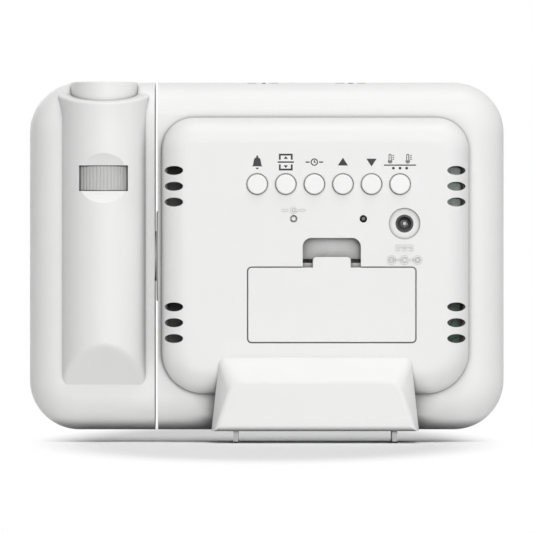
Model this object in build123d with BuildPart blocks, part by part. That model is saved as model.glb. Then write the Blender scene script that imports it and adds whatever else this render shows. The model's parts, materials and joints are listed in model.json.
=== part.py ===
"""Projection alarm clock: a rounded case on two skids, with a projector wing that swivels at its side.

Millimetres. X runs along the width, Y from the display (low) to the rear keys (high), Z up.
The origin is on the standing surface, midway along the width and the depth.
"""

import os
from math import atan2, cos, radians, sin

from build123d import *

os.makedirs("parts", exist_ok=True)

# ---- Case outline --------------------------------------------------------------------------------
case_width = 190.2        # case and wing together
case_height = 139.2
corner_round = 20.0       # the four corners, seen from the front
slab_depth = 28.0         # the rounded slab that case and wing share
front_round = 4.0         # front edge of the slab
back_round = 13.0         # rear edge of the slab
ground_gap = 4.8          # air under the case
wall = 2.2                # outer shells
rim_depth = 6.0           # front shells, from the front face to the parting line
lip_length = 2.0          # lip that centres a front shell in a rear one
lip_thickness = 1.2
fit_gap = 0.1             # between pieces that locate each other
slide_gap = 0.3           # between pieces that slide or turn past each other
axial_gap = 0.05          # between flat faces that turn on each other

# ---- Rear housing and foot ----------------------------------------------------------------------
bump_side_inset = 14.4    # from the case's outer side to the rear housing
bump_seam_inset = 1.5     # from the rear housing to the case's side at the seam
bump_height = 110.3
bump_rise = 11.0          # how far the rear housing stands behind the slab
bump_low = 14.6           # its lower edge above the slab's lower edge
bump_top_corner = 13.0
bump_bottom_corner = 17.0
bump_round = 10.0
foot_reach = 22.0         # foot's rear face behind the slab
foot_root_half_top = 38.2
foot_root_half_bottom = 41.3
foot_root_height = 29.2   # where the foot leaves the rear housing
foot_end_half_top = 33.0
foot_end_half_bottom = 40.0
foot_end_height = 19.6
foot_root_corner = 3.0    # upper corners at the root, and below at the rear face
foot_end_corner = 6.0
foot_round = 2.0

# ---- Wing and its swivel ------------------------------------------------------------------------
wing_width = 50.3
seam_gap = 1.2            # air between case and wing
hub_radius = 10.0
hub_bore = 7.0
hub_reach = 1.2           # hub beyond its clip
bush_wall = 1.7
bush_length = 4.2
bush_fit = 0.06           # running fit of the hub in its bush
pad_thickness = 0.6       # thrust pad in the seam
pad_height = 36.0
pad_width = 20.0
washer_thickness = 0.6
clip_thickness = 1.0
clip_bite = 0.8           # depth of the clip's groove in the hub
clip_mouth = 6.0
flange_height = 34.0
flange_width = 20.4
flange_thickness = 2.0
hub_boss_height = 3.0
hub_boss_radius = 3.0
hub_screw_spread = 13.0

# ---- Projector tube -----------------------------------------------------------------------------
tube_side_room = 20.3     # tube's middle from the wing's side at the seam
tube_radius = 17.55
tube_rise = 12.0          # crown of the tube behind the slab
tube_flare = 1.9
flare_drop = 17.2         # start of the flare below the slab's upper edge
shoulder_drop = 8.4       # crown of the tube's upper end below the slab's upper edge
shoulder_tilt = 13.5
tube_hip = 34.0           # crown of the tube's lower end
tube_toe = 18.2           # where the slope meets the slab
tube_edge = 1.0
tube_hip_round = 3.0
lens_inset = 4.5          # optical axis in front of the slab's rear face
focus_rise = 31.0         # middle of the focus ring above the swivel's axis
window_width = 19.5
window_height = 10.2
scoop_radius = 17.5
scoop_depth = 3.1
housing_reach = 4.0       # thick wall above and below the focus ring
ring_radius = 14.2
ring_height = 9.6
ring_ribs = 60
rib_radius = 0.45
barrel_radius = 12.0      # projector chassis
carrier_radius = 10.5
carrier_length = 32.0
carrier_wall = 1.4
chassis_length = 56.0
chassis_floor = 1.0       # thickness of the ledge that the lamp board stands on
chassis_ledge = 2.0       # width of that ledge
collar_radius = 13.3
collar_head = 18.0
collar_lip = 3.0          # lip over the exit lens
aperture_radius = 9.0
aperture_chamfer = 1.4
exit_lens_thickness = 1.4
exit_lens_crown = 1.0
lamp_board_thickness = 1.6
lamp_radius = 2.5
lamp_height = 5.5
lamp_dome = 2.2
condenser_height = 12.0   # above the lamp board
condenser_edge = 1.6
condenser_crown = 3.4
image_height = 26.0
image_size = 12.0
image_thickness = 1.8
holder_thickness = 4.0
lens_edge = 2.0
lens_crown = 1.8
ear_reach = 4.0
ear_thickness = 2.4
ear_height = 4.4
ear_spread = 21.5
ear_screw_radius = 0.7

# ---- Keys and rear panel ------------------------------------------------------------------------
key_names = ["alarm_key", "flip_key", "mode_key", "up_key", "down_key", "unit_key"]
key_pitch = 11.38
key_first = 23.1          # first key from the housing's middle
key_row = 98.2            # above the slab's lower edge
key_radius = 3.95
key_hole_gap = 0.4
key_proud = 1.2
key_edge = 0.5
key_flange_radius = 5.2
key_flange_thickness = 1.0
key_stem_radius = 1.5
key_travel = 0.6
reset_offset = 8.6        # from the housing's middle, as the next three are
reset_row = 84.4
reset_radius = 0.95
reset_hole_radius = 1.5
reset_travel = 0.5
reset_sunk = 0.3
reset_flange_radius = 2.6
sensor_offset = -19.2
sensor_radius = 1.2
sensor_length = 5.2
sensor_lead_radius = 0.3
sensor_sunk = 0.8
jack_offset = -35.6
jack_row = 82.5
jack_recess_radius = 6.3
jack_recess_depth = 1.2
jack_barrel_radius = 3.5
jack_bore_radius = 2.8
jack_pin_radius = 1.0
jack_pin_sunk = 1.0
jack_pin_root_radius = 1.4
jack_bore_depth = 8.2
jack_block = 9.4
switch_size = 6.0
switch_body = 3.5
switch_plunger = 0.9
switch_plunger_radius = 1.6
board_thickness = 1.6
key_board_depth = 10.4    # board's rear face in front of the rear panel's outer face
board_screw_radius = 1.0
board_boss_radius = 2.6
board_screw_grip = 4.0
board_margin = 1.6
screw_head_ratio = 1.9
screw_head_height = 1.2
screw_slot = 0.5
display_screw_length = 5.0
key_end_room = 10.2       # from the last keys to the board's screws
vent_length = 7.4
vent_height = 3.6
vent_depth = 9.0
vent_inset = 8.8          # inner end of each vent from the side of the rear housing
vent_pitch = 6.3
vent_rows = (43.0, 97.4)  # middles of the lower and upper groups, above the slab's lower edge

# ---- Battery bay --------------------------------------------------------------------------------
door_width = 66.8
door_height = 29.8
door_gap = 0.4
door_thickness = 2.0
door_corner = 1.5
door_edge = 0.4
door_inner_edge = 0.8
door_tilt_rise = 1.2      # the line that the door tilts on, above its lower edge
door_tilt_sunk = 0.5      # and in front of its outer face
door_offset = -6.6
door_row = 50.1           # middle of the door above the slab's lower edge
tab_width = 15.2
tab_height = 4.2
tab_thickness = 1.5
hook_width = 6.0
hook_spread = 20.0
hook_thickness = 1.2
hook_room = 1.2
pocket_width = 23.2
pocket_height = 11.4
pocket_depth = 5.0
pocket_wall = 1.4
pocket_corner = 3.5
pocket_slot = 3.0
cell_radius = 7.25
cell_length = 49.5
cell_nub_radius = 2.75
cell_nub_length = 1.0
cell_gap = 0.3
spring_length = 5.6
spring_radius = 4.0
spring_wire = 0.4
spring_turns = 4
contact_thickness = 0.5
contact_size = 12.0
tray_wall = 1.4
tray_ear_spread = 24.0
tray_ear_gap = 1.4
tray_ear_height = 8.6     # rear face of the tray's ears behind its floor
tray_ear_thickness = 2.0

# ---- Front and display --------------------------------------------------------------------------
window_side_inset = 10.35 # from the case's sides to the display window
window_end_inset = 19.6   # from the case's top and bottom to the display window
window_glass_thickness = 1.4
window_corner = 5.0
window_ledge = 3.0
lcd_margin = 1.0          # display window beyond the display
lcd_thickness = 2.2
guide_thickness = 3.0
guide_side_room = 4.0     # room for the lamp strip beside the light guide
holder_wall = 1.4
layer_gap = 0.2
standoff_height = 3.0
standoff_radius = 3.0
holder_ear_spread = 40.0
main_board_inset = 6.0    # from the edges of the display
main_board_corner = 3.0
strip_thickness = 1.0
strip_lamps = 6
strip_lamp_size = 2.6
board_chips = [           # X and Z from the board's middle, side, height
    (0.0, 0.0, 14.0, 1.8),
    (-24.0, 18.0, 8.0, 1.4),
    (22.0, -20.0, 6.0, 1.2),
    (30.0, 24.0, 9.0, 3.6),
]
board_cans = [(-34.0, -22.0), (-27.0, -22.0), (34.0, 0.0)]
can_radius = 2.6
can_height = 4.2

# ---- Top key, speaker, skids --------------------------------------------------------------------
snooze_length = 56.0
snooze_width = 6.0
snooze_offset = 3.3       # from the housing's middle
snooze_depth = 12.4       # middle of the bar behind the front face
snooze_travel = 0.6
snooze_flange = 1.0
snooze_flange_thickness = 1.2
snooze_board_drop = 9.0   # board's upper face under the case's upper face
snooze_board_length = 24.0
snooze_post_spread = 8.5
snooze_post_depth = 6.6    # posts behind the middle of the bar
snooze_post_radius = 2.2
snooze_screw_radius = 0.8
speaker_radius = 11.5
speaker_depth = 6.0
sound_hole_radius = 1.0
sound_hole_rings = {4.0: 6, 7.5: 12}      # radius of each ring of holes: how many
speaker_cone_radius = 9.0
speaker_collar = 1.4
speaker_cone_depth = 1.2
speaker_magnet_radius = 6.5
speaker_magnet_height = 3.5
skid_spread = 31.55       # from the housing's middle
skid_thickness = 2.0
skid_length = 38.4
skid_front_inset = 8.8
skid_tip_height = 0.7
skid_flange = 2.0
skid_flange_thickness = 1.2

# ---- Places that follow from the sizes above -----------------------------------------------------
far = 2 * (case_width + case_height)
front_y = -(slab_depth + foot_reach) / 2
slab_back_y = front_y + slab_depth
split_y = front_y + rim_depth
bump_back_y = slab_back_y + bump_rise
foot_back_y = slab_back_y + foot_reach
panel_inner_y = bump_back_y - wall
case_mid_z = ground_gap + case_height / 2
case_top_z = ground_gap + case_height
bump_z = ground_gap + bump_low + bump_height / 2
wing_side_x = case_width / 2 - wing_width
case_side_x = wing_side_x - seam_gap
bump_width = case_side_x - bump_seam_inset + case_width / 2 - bump_side_inset
bump_x = case_side_x - bump_seam_inset - bump_width / 2
hinge_y = front_y + slab_depth / 2
hinge_z = case_mid_z
tube_axis_y = slab_back_y + tube_rise - tube_radius
crown_y = slab_back_y + tube_rise
lens_y = slab_back_y - lens_inset
tube_x = wing_side_x + tube_side_room
focus_z = hinge_z + focus_rise
display_x = (case_side_x - case_width / 2) / 2
window_glass_width = case_side_x + case_width / 2 - 2 * window_side_inset
window_glass_height = case_height - 2 * window_end_inset
lcd_width = window_glass_width - 2 * lcd_margin
lcd_height = window_glass_height - 2 * lcd_margin
main_board_width = lcd_width - 2 * main_board_inset
main_board_height = lcd_height - 2 * main_board_inset
key_xs = [bump_x + key_first - i * key_pitch for i in range(len(key_names))]
reset_x = bump_x + reset_offset
sensor_x = bump_x + sensor_offset
jack_x = bump_x + jack_offset
door_x = bump_x + door_offset
snooze_x = bump_x + snooze_offset
skid_xs = {"left": bump_x + skid_spread, "right": bump_x - skid_spread}
key_z = ground_gap + key_row
reset_z = ground_gap + reset_row
jack_z = ground_gap + jack_row
door_z = ground_gap + door_row
key_board_y = bump_back_y - key_board_depth
switch_top_y = key_board_y + switch_body + switch_plunger


case_x = (-case_width / 2, case_side_x)
wing_x = (wing_side_x, case_width / 2)
lip_inset = wall + fit_gap
front_inner_y = front_y + lip_inset + lip_thickness
opening_high = door_z + door_height / 2 + door_gap
pocket_high = opening_high + pocket_height
bush_radius = hub_radius + bush_fit + bush_wall
bush_inner_x = case_side_x - bush_length
washer_x = (bush_inner_x - washer_thickness - axial_gap, bush_inner_x - axial_gap)
clip_x = (washer_x[0] - axial_gap - clip_thickness, washer_x[0] - axial_gap)
hub_end_x = clip_x[0] - hub_reach
flange_x = wing_side_x + wall + hub_boss_height
ring_z = (focus_z - ring_height / 2, focus_z + ring_height / 2)
chassis_z = (ring_z[0] - slide_gap - chassis_length, ring_z[0] - slide_gap)
collar_z = (ring_z[1] + slide_gap, case_top_z)
bore_radius = carrier_radius + slide_gap
lamp_z = chassis_z[0] + chassis_floor + lamp_board_thickness
skid_y = (front_y + skid_front_inset, front_y + skid_front_inset + skid_length)
snooze_y = front_y + snooze_depth
snooze_board_z = case_top_z - snooze_board_drop
floor_z = ground_gap + wall
speaker_y = (skid_y[0] + skid_y[1]) / 2
speaker_z = (floor_z + layer_gap, floor_z + speaker_depth)
cell_y = bump_back_y - door_thickness - cell_gap - cell_radius
bay_length = cell_length + cell_nub_length + spring_length + 2 * contact_thickness + cell_gap
bay_x = (door_x - bay_length / 2, door_x + bay_length / 2)
bay_half_height = 2 * cell_radius + 1.5 * cell_gap
bay_floor_y = cell_y - cell_radius - cell_gap
lcd_y = (front_inner_y + layer_gap, front_inner_y + layer_gap + lcd_thickness)
guide_y = (lcd_y[1] + layer_gap, lcd_y[1] + layer_gap + guide_thickness)
holder_back_y = guide_y[1] + layer_gap + holder_wall
main_board_y = (holder_back_y + standoff_height, holder_back_y + standoff_height + board_thickness)
holder_half_width = lcd_width / 2 + fit_gap + holder_wall
holder_half_height = lcd_height / 2 + fit_gap + holder_wall


# ---- Helpers ------------------------------------------------------------------------------------
def facing_front(y, x=0, z=0):
    """A sketch plane at depth y: sketch x is X, sketch y is Z, and extrusions run to the front."""
    return Plane(origin=(x, y, z), x_dir=(1, 0, 0), z_dir=(0, -1, 0))


def block(x, y, z, mode=Mode.ADD):
    """A box between three pairs of coordinates."""
    with Locations(((x[0] + x[1]) / 2, (y[0] + y[1]) / 2, (z[0] + z[1]) / 2)):
        Box(x[1] - x[0], y[1] - y[0], z[1] - z[0], mode=mode)


def rod_x(x, y, z, radius, mode=Mode.ADD):
    """A cylinder along X between the pair x."""
    with Locations(((x[0] + x[1]) / 2, y, z)):
        Cylinder(radius, x[1] - x[0], rotation=(0, 90, 0), mode=mode)


def rod_y(x, y, z, radius, mode=Mode.ADD):
    """A cylinder along Y between the pair y."""
    with Locations((x, (y[0] + y[1]) / 2, z)):
        Cylinder(radius, y[1] - y[0], rotation=(90, 0, 0), mode=mode)


def rod_z(x, y, z, radius, mode=Mode.ADD):
    """A cylinder along Z between the pair z."""
    with Locations((x, y, (z[0] + z[1]) / 2)):
        Cylinder(radius, z[1] - z[0], mode=mode)


def keep(x=(-far, far), y=(-far, far), z=(-far, far)):
    """Keep what lies between three pairs of coordinates."""
    block(x, y, z, mode=Mode.INTERSECT)


def slab(inset, x):
    """The rounded slab that case and wing share, drawn in by inset, between the pair x."""
    with BuildPart() as body:
        with BuildSketch(facing_front(slab_back_y - inset)):
            with Locations((0, case_mid_z)):
                RectangleRounded(case_width - 2 * inset, case_height - 2 * inset, corner_round - inset)
        extrude(amount=slab_depth - 2 * inset)
        fillet(body.faces().sort_by(Axis.Y)[-1].edges(), back_round - inset)
        fillet(body.faces().sort_by(Axis.Y)[0].edges(), front_round - min(inset, front_round / 2))
        keep(x=x)
    return body.part


def bump(inset):
    """The raised rear housing, drawn in by inset, reaching into the slab."""
    with BuildPart() as body:
        with BuildSketch(facing_front(bump_back_y - inset)) as outline:
            with Locations((bump_x, bump_z)):
                Rectangle(bump_width - 2 * inset, bump_height - 2 * inset)
            fillet(outline.vertices().group_by(Axis.Y)[-1], bump_top_corner - inset)
            fillet(outline.vertices().group_by(Axis.Y)[0], bump_bottom_corner - inset)
        extrude(amount=bump_rise + 2 * wall)
        fillet(body.faces().sort_by(Axis.Y)[-1].edges(), bump_round - inset)
    return body.part


def foot_outline(half_top, half_bottom, top, corner, inset):
    """One end of the foot, drawn in by inset: a trapezium with rounded upper corners."""
    low = ground_gap + inset
    high = ground_gap + top - inset
    with BuildSketch() as outline:
        with BuildLine():
            Polyline(
                (bump_x - half_bottom + inset, low),
                (bump_x + half_bottom - inset, low),
                (bump_x + half_top - inset, high),
                (bump_x - half_top + inset, high),
                close=True,
            )
        make_face()
        fillet(outline.vertices().group_by(Axis.Y)[-1], corner)
    return outline.sketch


def foot(inset):
    """The rear foot, drawn in by inset: straight under the housing, then tapering to its rear face."""
    root = foot_outline(foot_root_half_top, foot_root_half_bottom, foot_root_height, foot_root_corner,
                        inset)
    end = foot_outline(foot_end_half_top, foot_end_half_bottom, foot_end_height, foot_end_corner, inset)
    with BuildPart() as body:
        with BuildSketch(facing_front(bump_back_y)) as root_sketch:
            add(root)
        extrude(amount=bump_rise + back_round + inset)
        with BuildSketch(facing_front(foot_back_y - inset)) as end_sketch:
            add(end)
        loft([root_sketch.sketch, end_sketch.sketch], ruled=True)
        if not inset:
            fillet(body.faces().sort_by(Axis.Y)[-1].edges(), foot_round)
    return body.part


def tube(inset):
    """The projector tube behind the wing, drawn in by inset: flared above, cut to slopes at both ends."""
    slope = atan2(tube_hip - tube_toe, tube_rise)
    shoulder_out = (0, sin(radians(shoulder_tilt)), cos(radians(shoulder_tilt)))
    slope_out = (0, sin(slope), -cos(slope))
    shoulder = Plane(origin=(tube_x, crown_y, case_top_z - shoulder_drop), z_dir=shoulder_out)
    toe = Plane(origin=(tube_x, crown_y, ground_gap + tube_hip), z_dir=slope_out)
    radius = tube_radius - inset
    with BuildPart() as body:
        with BuildSketch(facing_front(tube_axis_y, tube_x, ground_gap)):
            with BuildLine():
                Line((0, 0), (radius, 0))
                Line((radius, 0), (radius, case_height - flare_drop))
                TangentArc((radius, case_height - flare_drop), (radius + tube_flare, case_height),
                           tangent=(0, 1))
                Line((radius + tube_flare, case_height), (0, case_height))
                Line((0, case_height), (0, 0))
            make_face()
        revolve(axis=Axis((tube_x, tube_axis_y, 0), (0, 0, 1)))
        split(bisect_by=shoulder.offset(-inset), keep=Keep.BOTTOM)
        split(bisect_by=toe.offset(-inset), keep=Keep.BOTTOM)
        keep(y=(slab_back_y - back_round, far))
        if not inset:
            fillet(body.faces().sort_by(Axis.Z)[-1].edges(), tube_edge)
            hip = body.faces().sort_by(Axis.Z)[0].edges().filter_by(GeomType.ELLIPSE)
            fillet(hip, tube_hip_round)
    return body.part


def front_shell(x):
    """A front shell between the pair x: the slab in front of the parting line, with its centring lip."""
    inner = lip_inset + lip_thickness
    with BuildPart() as shell:
        add(slab(0, x))
        keep(y=(-far, split_y))
        add(lip_body(lip_inset, x))
        add(slab(inner, (x[0] + inner, x[1] - inner)), mode=Mode.SUBTRACT)
    return shell.part


def lip_body(inset, x):
    """The outside of the lip: the slab drawn in by inset, from inside the front shell to the lip's end."""
    with BuildPart() as lip:
        add(slab(inset, (x[0] + inset, x[1] - inset)))
        keep(y=(split_y - lip_length, split_y + lip_length))
    return lip.part


def cavity(x):
    """The hollow of a rear shell between the pair x."""
    return slab(wall, (x[0] + wall, x[1] - wall))


def save(part, name):
    """Label one finished piece and write it."""
    part.label = name
    export_step(part, f"parts/{name}.step")


def crown_line(middle, rim, crown):
    """Half of a lens face in section: an arc from its middle to its rim, or a line if it is flat."""
    if crown:
        TangentArc(middle, rim, tangent=(1, 0))
    else:
        Line(middle, rim)


def lens(z, radius, edge, crown_low, crown_high):
    """A lens on the optical axis: its rim stands on height z, with the two spherical crowns beyond it."""
    with BuildPart() as glass:
        with BuildSketch(facing_front(lens_y, tube_x, z)):
            with BuildLine():
                crown_line((0, -crown_low), (radius, 0), crown_low)
                Line((radius, 0), (radius, edge))
                crown_line((0, edge + crown_high), (radius, edge), crown_high)
                Line((0, edge + crown_high), (0, -crown_low))
            make_face()
        revolve(axis=Axis((tube_x, lens_y, 0), (0, 0, 1)))
    return glass.part


def corner_places(x, z, half_x, half_z):
    """Four places at the corners of a rectangle."""
    return [(x + i * half_x, z + j * half_z) for i in (-1, 1) for j in (-1, 1)]


def screws_y(places, head_y, shank_length, radius):
    """Screws along Y with their heads behind the plane head_y and their shanks in front of it."""
    head = (head_y, head_y + screw_head_height)
    with BuildPart() as group:
        for x, z in places:
            rod_y(x, head, z, screw_head_ratio * radius)
            rod_y(x, (head_y - shank_length, head_y), z, radius)
            block((x - radius, x + radius), (head[1] - screw_slot, head[1]),
                  (z - screw_slot / 2, z + screw_slot / 2), mode=Mode.SUBTRACT)
            block((x - screw_slot / 2, x + screw_slot / 2), (head[1] - screw_slot, head[1]),
                  (z - radius, z + radius), mode=Mode.SUBTRACT)
    return group.part


def tact_switch(x, z):
    """A push switch on the key board, in the part that is being built."""
    half = switch_size / 2
    block((x - half, x + half), (key_board_y, key_board_y + switch_body), (z - half, z + half))
    rod_y(x, (key_board_y + switch_body, switch_top_y), z, switch_plunger_radius)


# ---- Places of fasteners ------------------------------------------------------------------------
key_screws = [(x, z) for x in (key_xs[-1] - key_end_room, key_xs[0] + key_end_room)
              for z in (key_z, reset_z)]
tray_screws = corner_places(door_x, door_z, tray_ear_spread,
                            door_height / 2 + door_gap + tray_wall + board_boss_radius + tray_ear_gap)
holder_screws = corner_places(display_x, case_mid_z, holder_ear_spread,
                              holder_half_height + standoff_radius)
standoffs = corner_places(display_x, case_mid_z, main_board_width / 2 - 2 * standoff_radius,
                          main_board_height / 2 - 2 * standoff_radius)
chassis_ears = corner_places(tube_x, (chassis_z[0] + chassis_z[1]) / 2, barrel_radius + ear_reach / 2,
                             ear_spread)


# ---- Case: rear cover ---------------------------------------------------------------------------
through_panel = (panel_inner_y - fit_gap, bump_back_y + fit_gap)
ear_back_y = bay_floor_y + tray_ear_height

with BuildPart() as back_cover:
    add(slab(0, case_x))
    add(bump(0))
    add(foot(0))
    add(cavity(case_x), mode=Mode.SUBTRACT)
    add(bump(wall), mode=Mode.SUBTRACT)
    add(foot(wall), mode=Mode.SUBTRACT)
    keep(y=(split_y, far))
    # Bosses for the key board and the battery tray, and the speaker's ring over its sound holes.
    for places, boss_y in ((key_screws, key_board_y), (tray_screws, ear_back_y)):
        for x, z in places:
            rod_y(x, (boss_y, panel_inner_y + fit_gap), z, board_boss_radius)
            rod_y(x, (boss_y - fit_gap, panel_inner_y - wall), z, board_screw_radius, mode=Mode.SUBTRACT)
    rod_z(bump_x, speaker_y, (floor_z - fit_gap, speaker_z[1]), speaker_radius + fit_gap + speaker_collar)
    rod_z(bump_x, speaker_y, (floor_z, speaker_z[1] + fit_gap), speaker_radius + fit_gap,
          mode=Mode.SUBTRACT)
    with BuildSketch(Plane.XY.offset(ground_gap - fit_gap)):
        with Locations((bump_x, speaker_y)):
            Circle(sound_hole_radius)
            for hole_ring, hole_count in sound_hole_rings.items():
                with PolarLocations(hole_ring, hole_count):
                    Circle(sound_hole_radius)
    extrude(amount=wall + 2 * fit_gap, mode=Mode.SUBTRACT)
    # The thumb pocket over the battery door, open below it beside the door's tab.
    block((door_x - pocket_width / 2 - pocket_wall, door_x + pocket_width / 2 + pocket_wall),
          (bump_back_y - pocket_depth - pocket_wall, panel_inner_y + fit_gap),
          (opening_high + pocket_slot, pocket_high + pocket_wall))
    with BuildSketch(facing_front(bump_back_y + fit_gap)) as pocket:
        with Locations((door_x, (opening_high + pocket_high) / 2)):
            Rectangle(pocket_width, pocket_high - opening_high)
        fillet(pocket.vertices().group_by(Axis.Y)[-1], pocket_corner)
    extrude(amount=pocket_depth + fit_gap, mode=Mode.SUBTRACT)
    # The battery opening.
    with BuildSketch(facing_front(bump_back_y + fit_gap)):
        with Locations((door_x, door_z)):
            RectangleRounded(door_width + 2 * door_gap, door_height + 2 * door_gap, door_corner + door_gap)
    extrude(amount=wall + 2 * fit_gap, mode=Mode.SUBTRACT)
    # Holes for the six keys, the reset pin, the sensor and the supply socket.
    for x in key_xs:
        rod_y(x, through_panel, key_z, key_radius + key_hole_gap, mode=Mode.SUBTRACT)
    rod_y(reset_x, through_panel, reset_z, reset_hole_radius, mode=Mode.SUBTRACT)
    rod_y(sensor_x, through_panel, reset_z, sensor_radius + slide_gap, mode=Mode.SUBTRACT)
    rod_y(jack_x, through_panel, jack_z, jack_barrel_radius + fit_gap, mode=Mode.SUBTRACT)
    rod_y(jack_x, (bump_back_y - jack_recess_depth, bump_back_y + fit_gap), jack_z,
          jack_recess_radius, mode=Mode.SUBTRACT)
    # Vents at both sides of the housing: ovals through its rounded edge.
    with BuildSketch(facing_front(bump_back_y + fit_gap)):
        for row in vent_rows:
            for step in (-1, 0, 1):
                for side in (-1, 1):
                    with Locations((bump_x + side * (bump_width / 2 - vent_inset + vent_length / 2),
                                    ground_gap + row + step * vent_pitch)):
                        Ellipse(vent_length / 2, vent_height / 2)
    extrude(amount=vent_depth + fit_gap, mode=Mode.SUBTRACT)
    # The bush's seat in the side wall, the snooze bar's slot with two posts, and the skids' slits.
    rod_x((case_side_x - wall - fit_gap, case_side_x + fit_gap), hinge_y, hinge_z,
          bush_radius + fit_gap, mode=Mode.SUBTRACT)
    with BuildSketch(Plane.XY.offset(case_top_z + fit_gap)):
        with Locations((snooze_x, snooze_y)):
            SlotOverall(snooze_length + 2 * slide_gap, snooze_width + 2 * slide_gap)
    extrude(amount=-(wall + 2 * fit_gap), mode=Mode.SUBTRACT)
    for side in (-1, 1):
        post_x = snooze_x + side * snooze_post_spread
        rod_z(post_x, snooze_y + snooze_post_depth, (snooze_board_z, case_top_z - wall), snooze_post_radius)
        rod_z(post_x, snooze_y + snooze_post_depth, (snooze_board_z - fit_gap, case_top_z - 2 * wall),
              snooze_screw_radius, mode=Mode.SUBTRACT)
    for x in skid_xs.values():
        half = skid_thickness / 2 + fit_gap
        block((x - half, x + half), (skid_y[0] - fit_gap, skid_y[1] + fit_gap),
              (ground_gap - fit_gap, floor_z + fit_gap), mode=Mode.SUBTRACT)
save(back_cover.part, "back_cover")

# ---- Case: front frame and display --------------------------------------------------------------
with BuildPart() as front_frame:
    add(front_shell(case_x))
    for x, z in holder_screws:
        rod_y(x, (front_inner_y - fit_gap, holder_back_y - holder_wall), z, standoff_radius)
        rod_y(x, (front_inner_y, holder_back_y - holder_wall + fit_gap), z, board_screw_radius,
              mode=Mode.SUBTRACT)
    with BuildSketch(facing_front(front_y + window_glass_thickness + layer_gap)):
        with Locations((display_x, case_mid_z)):
            RectangleRounded(window_glass_width + 2 * fit_gap, window_glass_height + 2 * fit_gap,
                             window_corner + fit_gap)
    extrude(amount=window_glass_thickness + layer_gap + fit_gap, mode=Mode.SUBTRACT)
    with BuildSketch(facing_front(front_inner_y + fit_gap)):
        with Locations((display_x, case_mid_z)):
            RectangleRounded(window_glass_width - 2 * window_ledge, window_glass_height - 2 * window_ledge,
                             window_corner)
    extrude(amount=rim_depth, mode=Mode.SUBTRACT)
    rod_x((hub_end_x, case_side_x + fit_gap), hinge_y, hinge_z, bush_radius + fit_gap, mode=Mode.SUBTRACT)
save(front_frame.part, "front_frame")

with BuildPart() as display_window:
    with BuildSketch(facing_front(front_y + window_glass_thickness)):
        with Locations((display_x, case_mid_z)):
            RectangleRounded(window_glass_width, window_glass_height, window_corner)
    extrude(amount=window_glass_thickness)
save(display_window.part, "display_window")

with BuildPart() as lcd_panel:
    block((display_x - lcd_width / 2, display_x + lcd_width / 2), lcd_y,
          (case_mid_z - lcd_height / 2, case_mid_z + lcd_height / 2))
save(lcd_panel.part, "lcd_panel")

with BuildPart() as light_guide:
    block((display_x - lcd_width / 2 + guide_side_room, display_x + lcd_width / 2), guide_y,
          (case_mid_z - lcd_height / 2, case_mid_z + lcd_height / 2))
save(light_guide.part, "light_guide")

with BuildPart() as backlight_strip:
    strip_x = display_x - lcd_width / 2
    strip_half = lcd_height / 2 - guide_side_room
    lamp_pitch = 2 * strip_half / strip_lamps
    lamp_reach = guide_side_room - strip_thickness - layer_gap
    mid_y = (guide_y[0] + guide_y[1]) / 2
    block((strip_x, strip_x + strip_thickness), guide_y, (case_mid_z - strip_half, case_mid_z + strip_half))
    for i in range(strip_lamps):
        lamp_mid = case_mid_z - strip_half + (i + 0.5) * lamp_pitch
        block((strip_x + strip_thickness, strip_x + strip_thickness + lamp_reach),
              (mid_y - strip_lamp_size / 2, mid_y + strip_lamp_size / 2),
              (lamp_mid - strip_lamp_size / 2, lamp_mid + strip_lamp_size / 2))
save(backlight_strip.part, "backlight_strip")

with BuildPart() as display_holder:
    block((display_x - holder_half_width, display_x + holder_half_width),
          (front_inner_y + layer_gap, holder_back_y),
          (case_mid_z - holder_half_height, case_mid_z + holder_half_height))
    block((display_x - holder_half_width + holder_wall, display_x + holder_half_width - holder_wall),
          (front_inner_y, holder_back_y - holder_wall),
          (case_mid_z - holder_half_height + holder_wall, case_mid_z + holder_half_height - holder_wall),
          mode=Mode.SUBTRACT)
    for x, z in holder_screws:
        inner = case_mid_z + (holder_half_height - fit_gap) * (1 if z > case_mid_z else -1)
        outer = z + standoff_radius * (1 if z > case_mid_z else -1)
        block((x - standoff_radius, x + standoff_radius), (holder_back_y - holder_wall, holder_back_y),
              (min(inner, outer), max(inner, outer)))
        rod_y(x, (holder_back_y - holder_wall - fit_gap, holder_back_y + fit_gap), z,
              board_screw_radius + fit_gap, mode=Mode.SUBTRACT)
    for x, z in standoffs:
        rod_y(x, (holder_back_y, main_board_y[0]), z, standoff_radius)
        rod_y(x, (holder_back_y, main_board_y[0] + fit_gap), z, board_screw_radius, mode=Mode.SUBTRACT)
save(display_holder.part, "display_holder")

display_screws = screws_y(holder_screws, holder_back_y, display_screw_length, board_screw_radius)
save(display_screws, "display_screws")

with BuildPart() as main_board:
    with BuildSketch(facing_front(main_board_y[1])):
        with Locations((display_x, case_mid_z)):
            RectangleRounded(main_board_width, main_board_height, main_board_corner)
        with Locations(*standoffs):
            Circle(board_screw_radius + fit_gap, mode=Mode.SUBTRACT)
    extrude(amount=board_thickness)
save(main_board.part, "main_board")

main_board_screws = screws_y(standoffs, main_board_y[1], standoff_height + board_thickness - layer_gap,
                             board_screw_radius)
save(main_board_screws, "main_board_screws")

with BuildPart() as main_board_parts:
    board_face = main_board_y[1]
    for x, z, size, height in board_chips:
        block((display_x + x - size / 2, display_x + x + size / 2), (board_face, board_face + height),
              (case_mid_z + z - size / 2, case_mid_z + z + size / 2))
    for x, z in board_cans:
        rod_y(display_x + x, (board_face, board_face + can_height), case_mid_z + z, can_radius)
save(main_board_parts.part, "main_board_parts")

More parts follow.
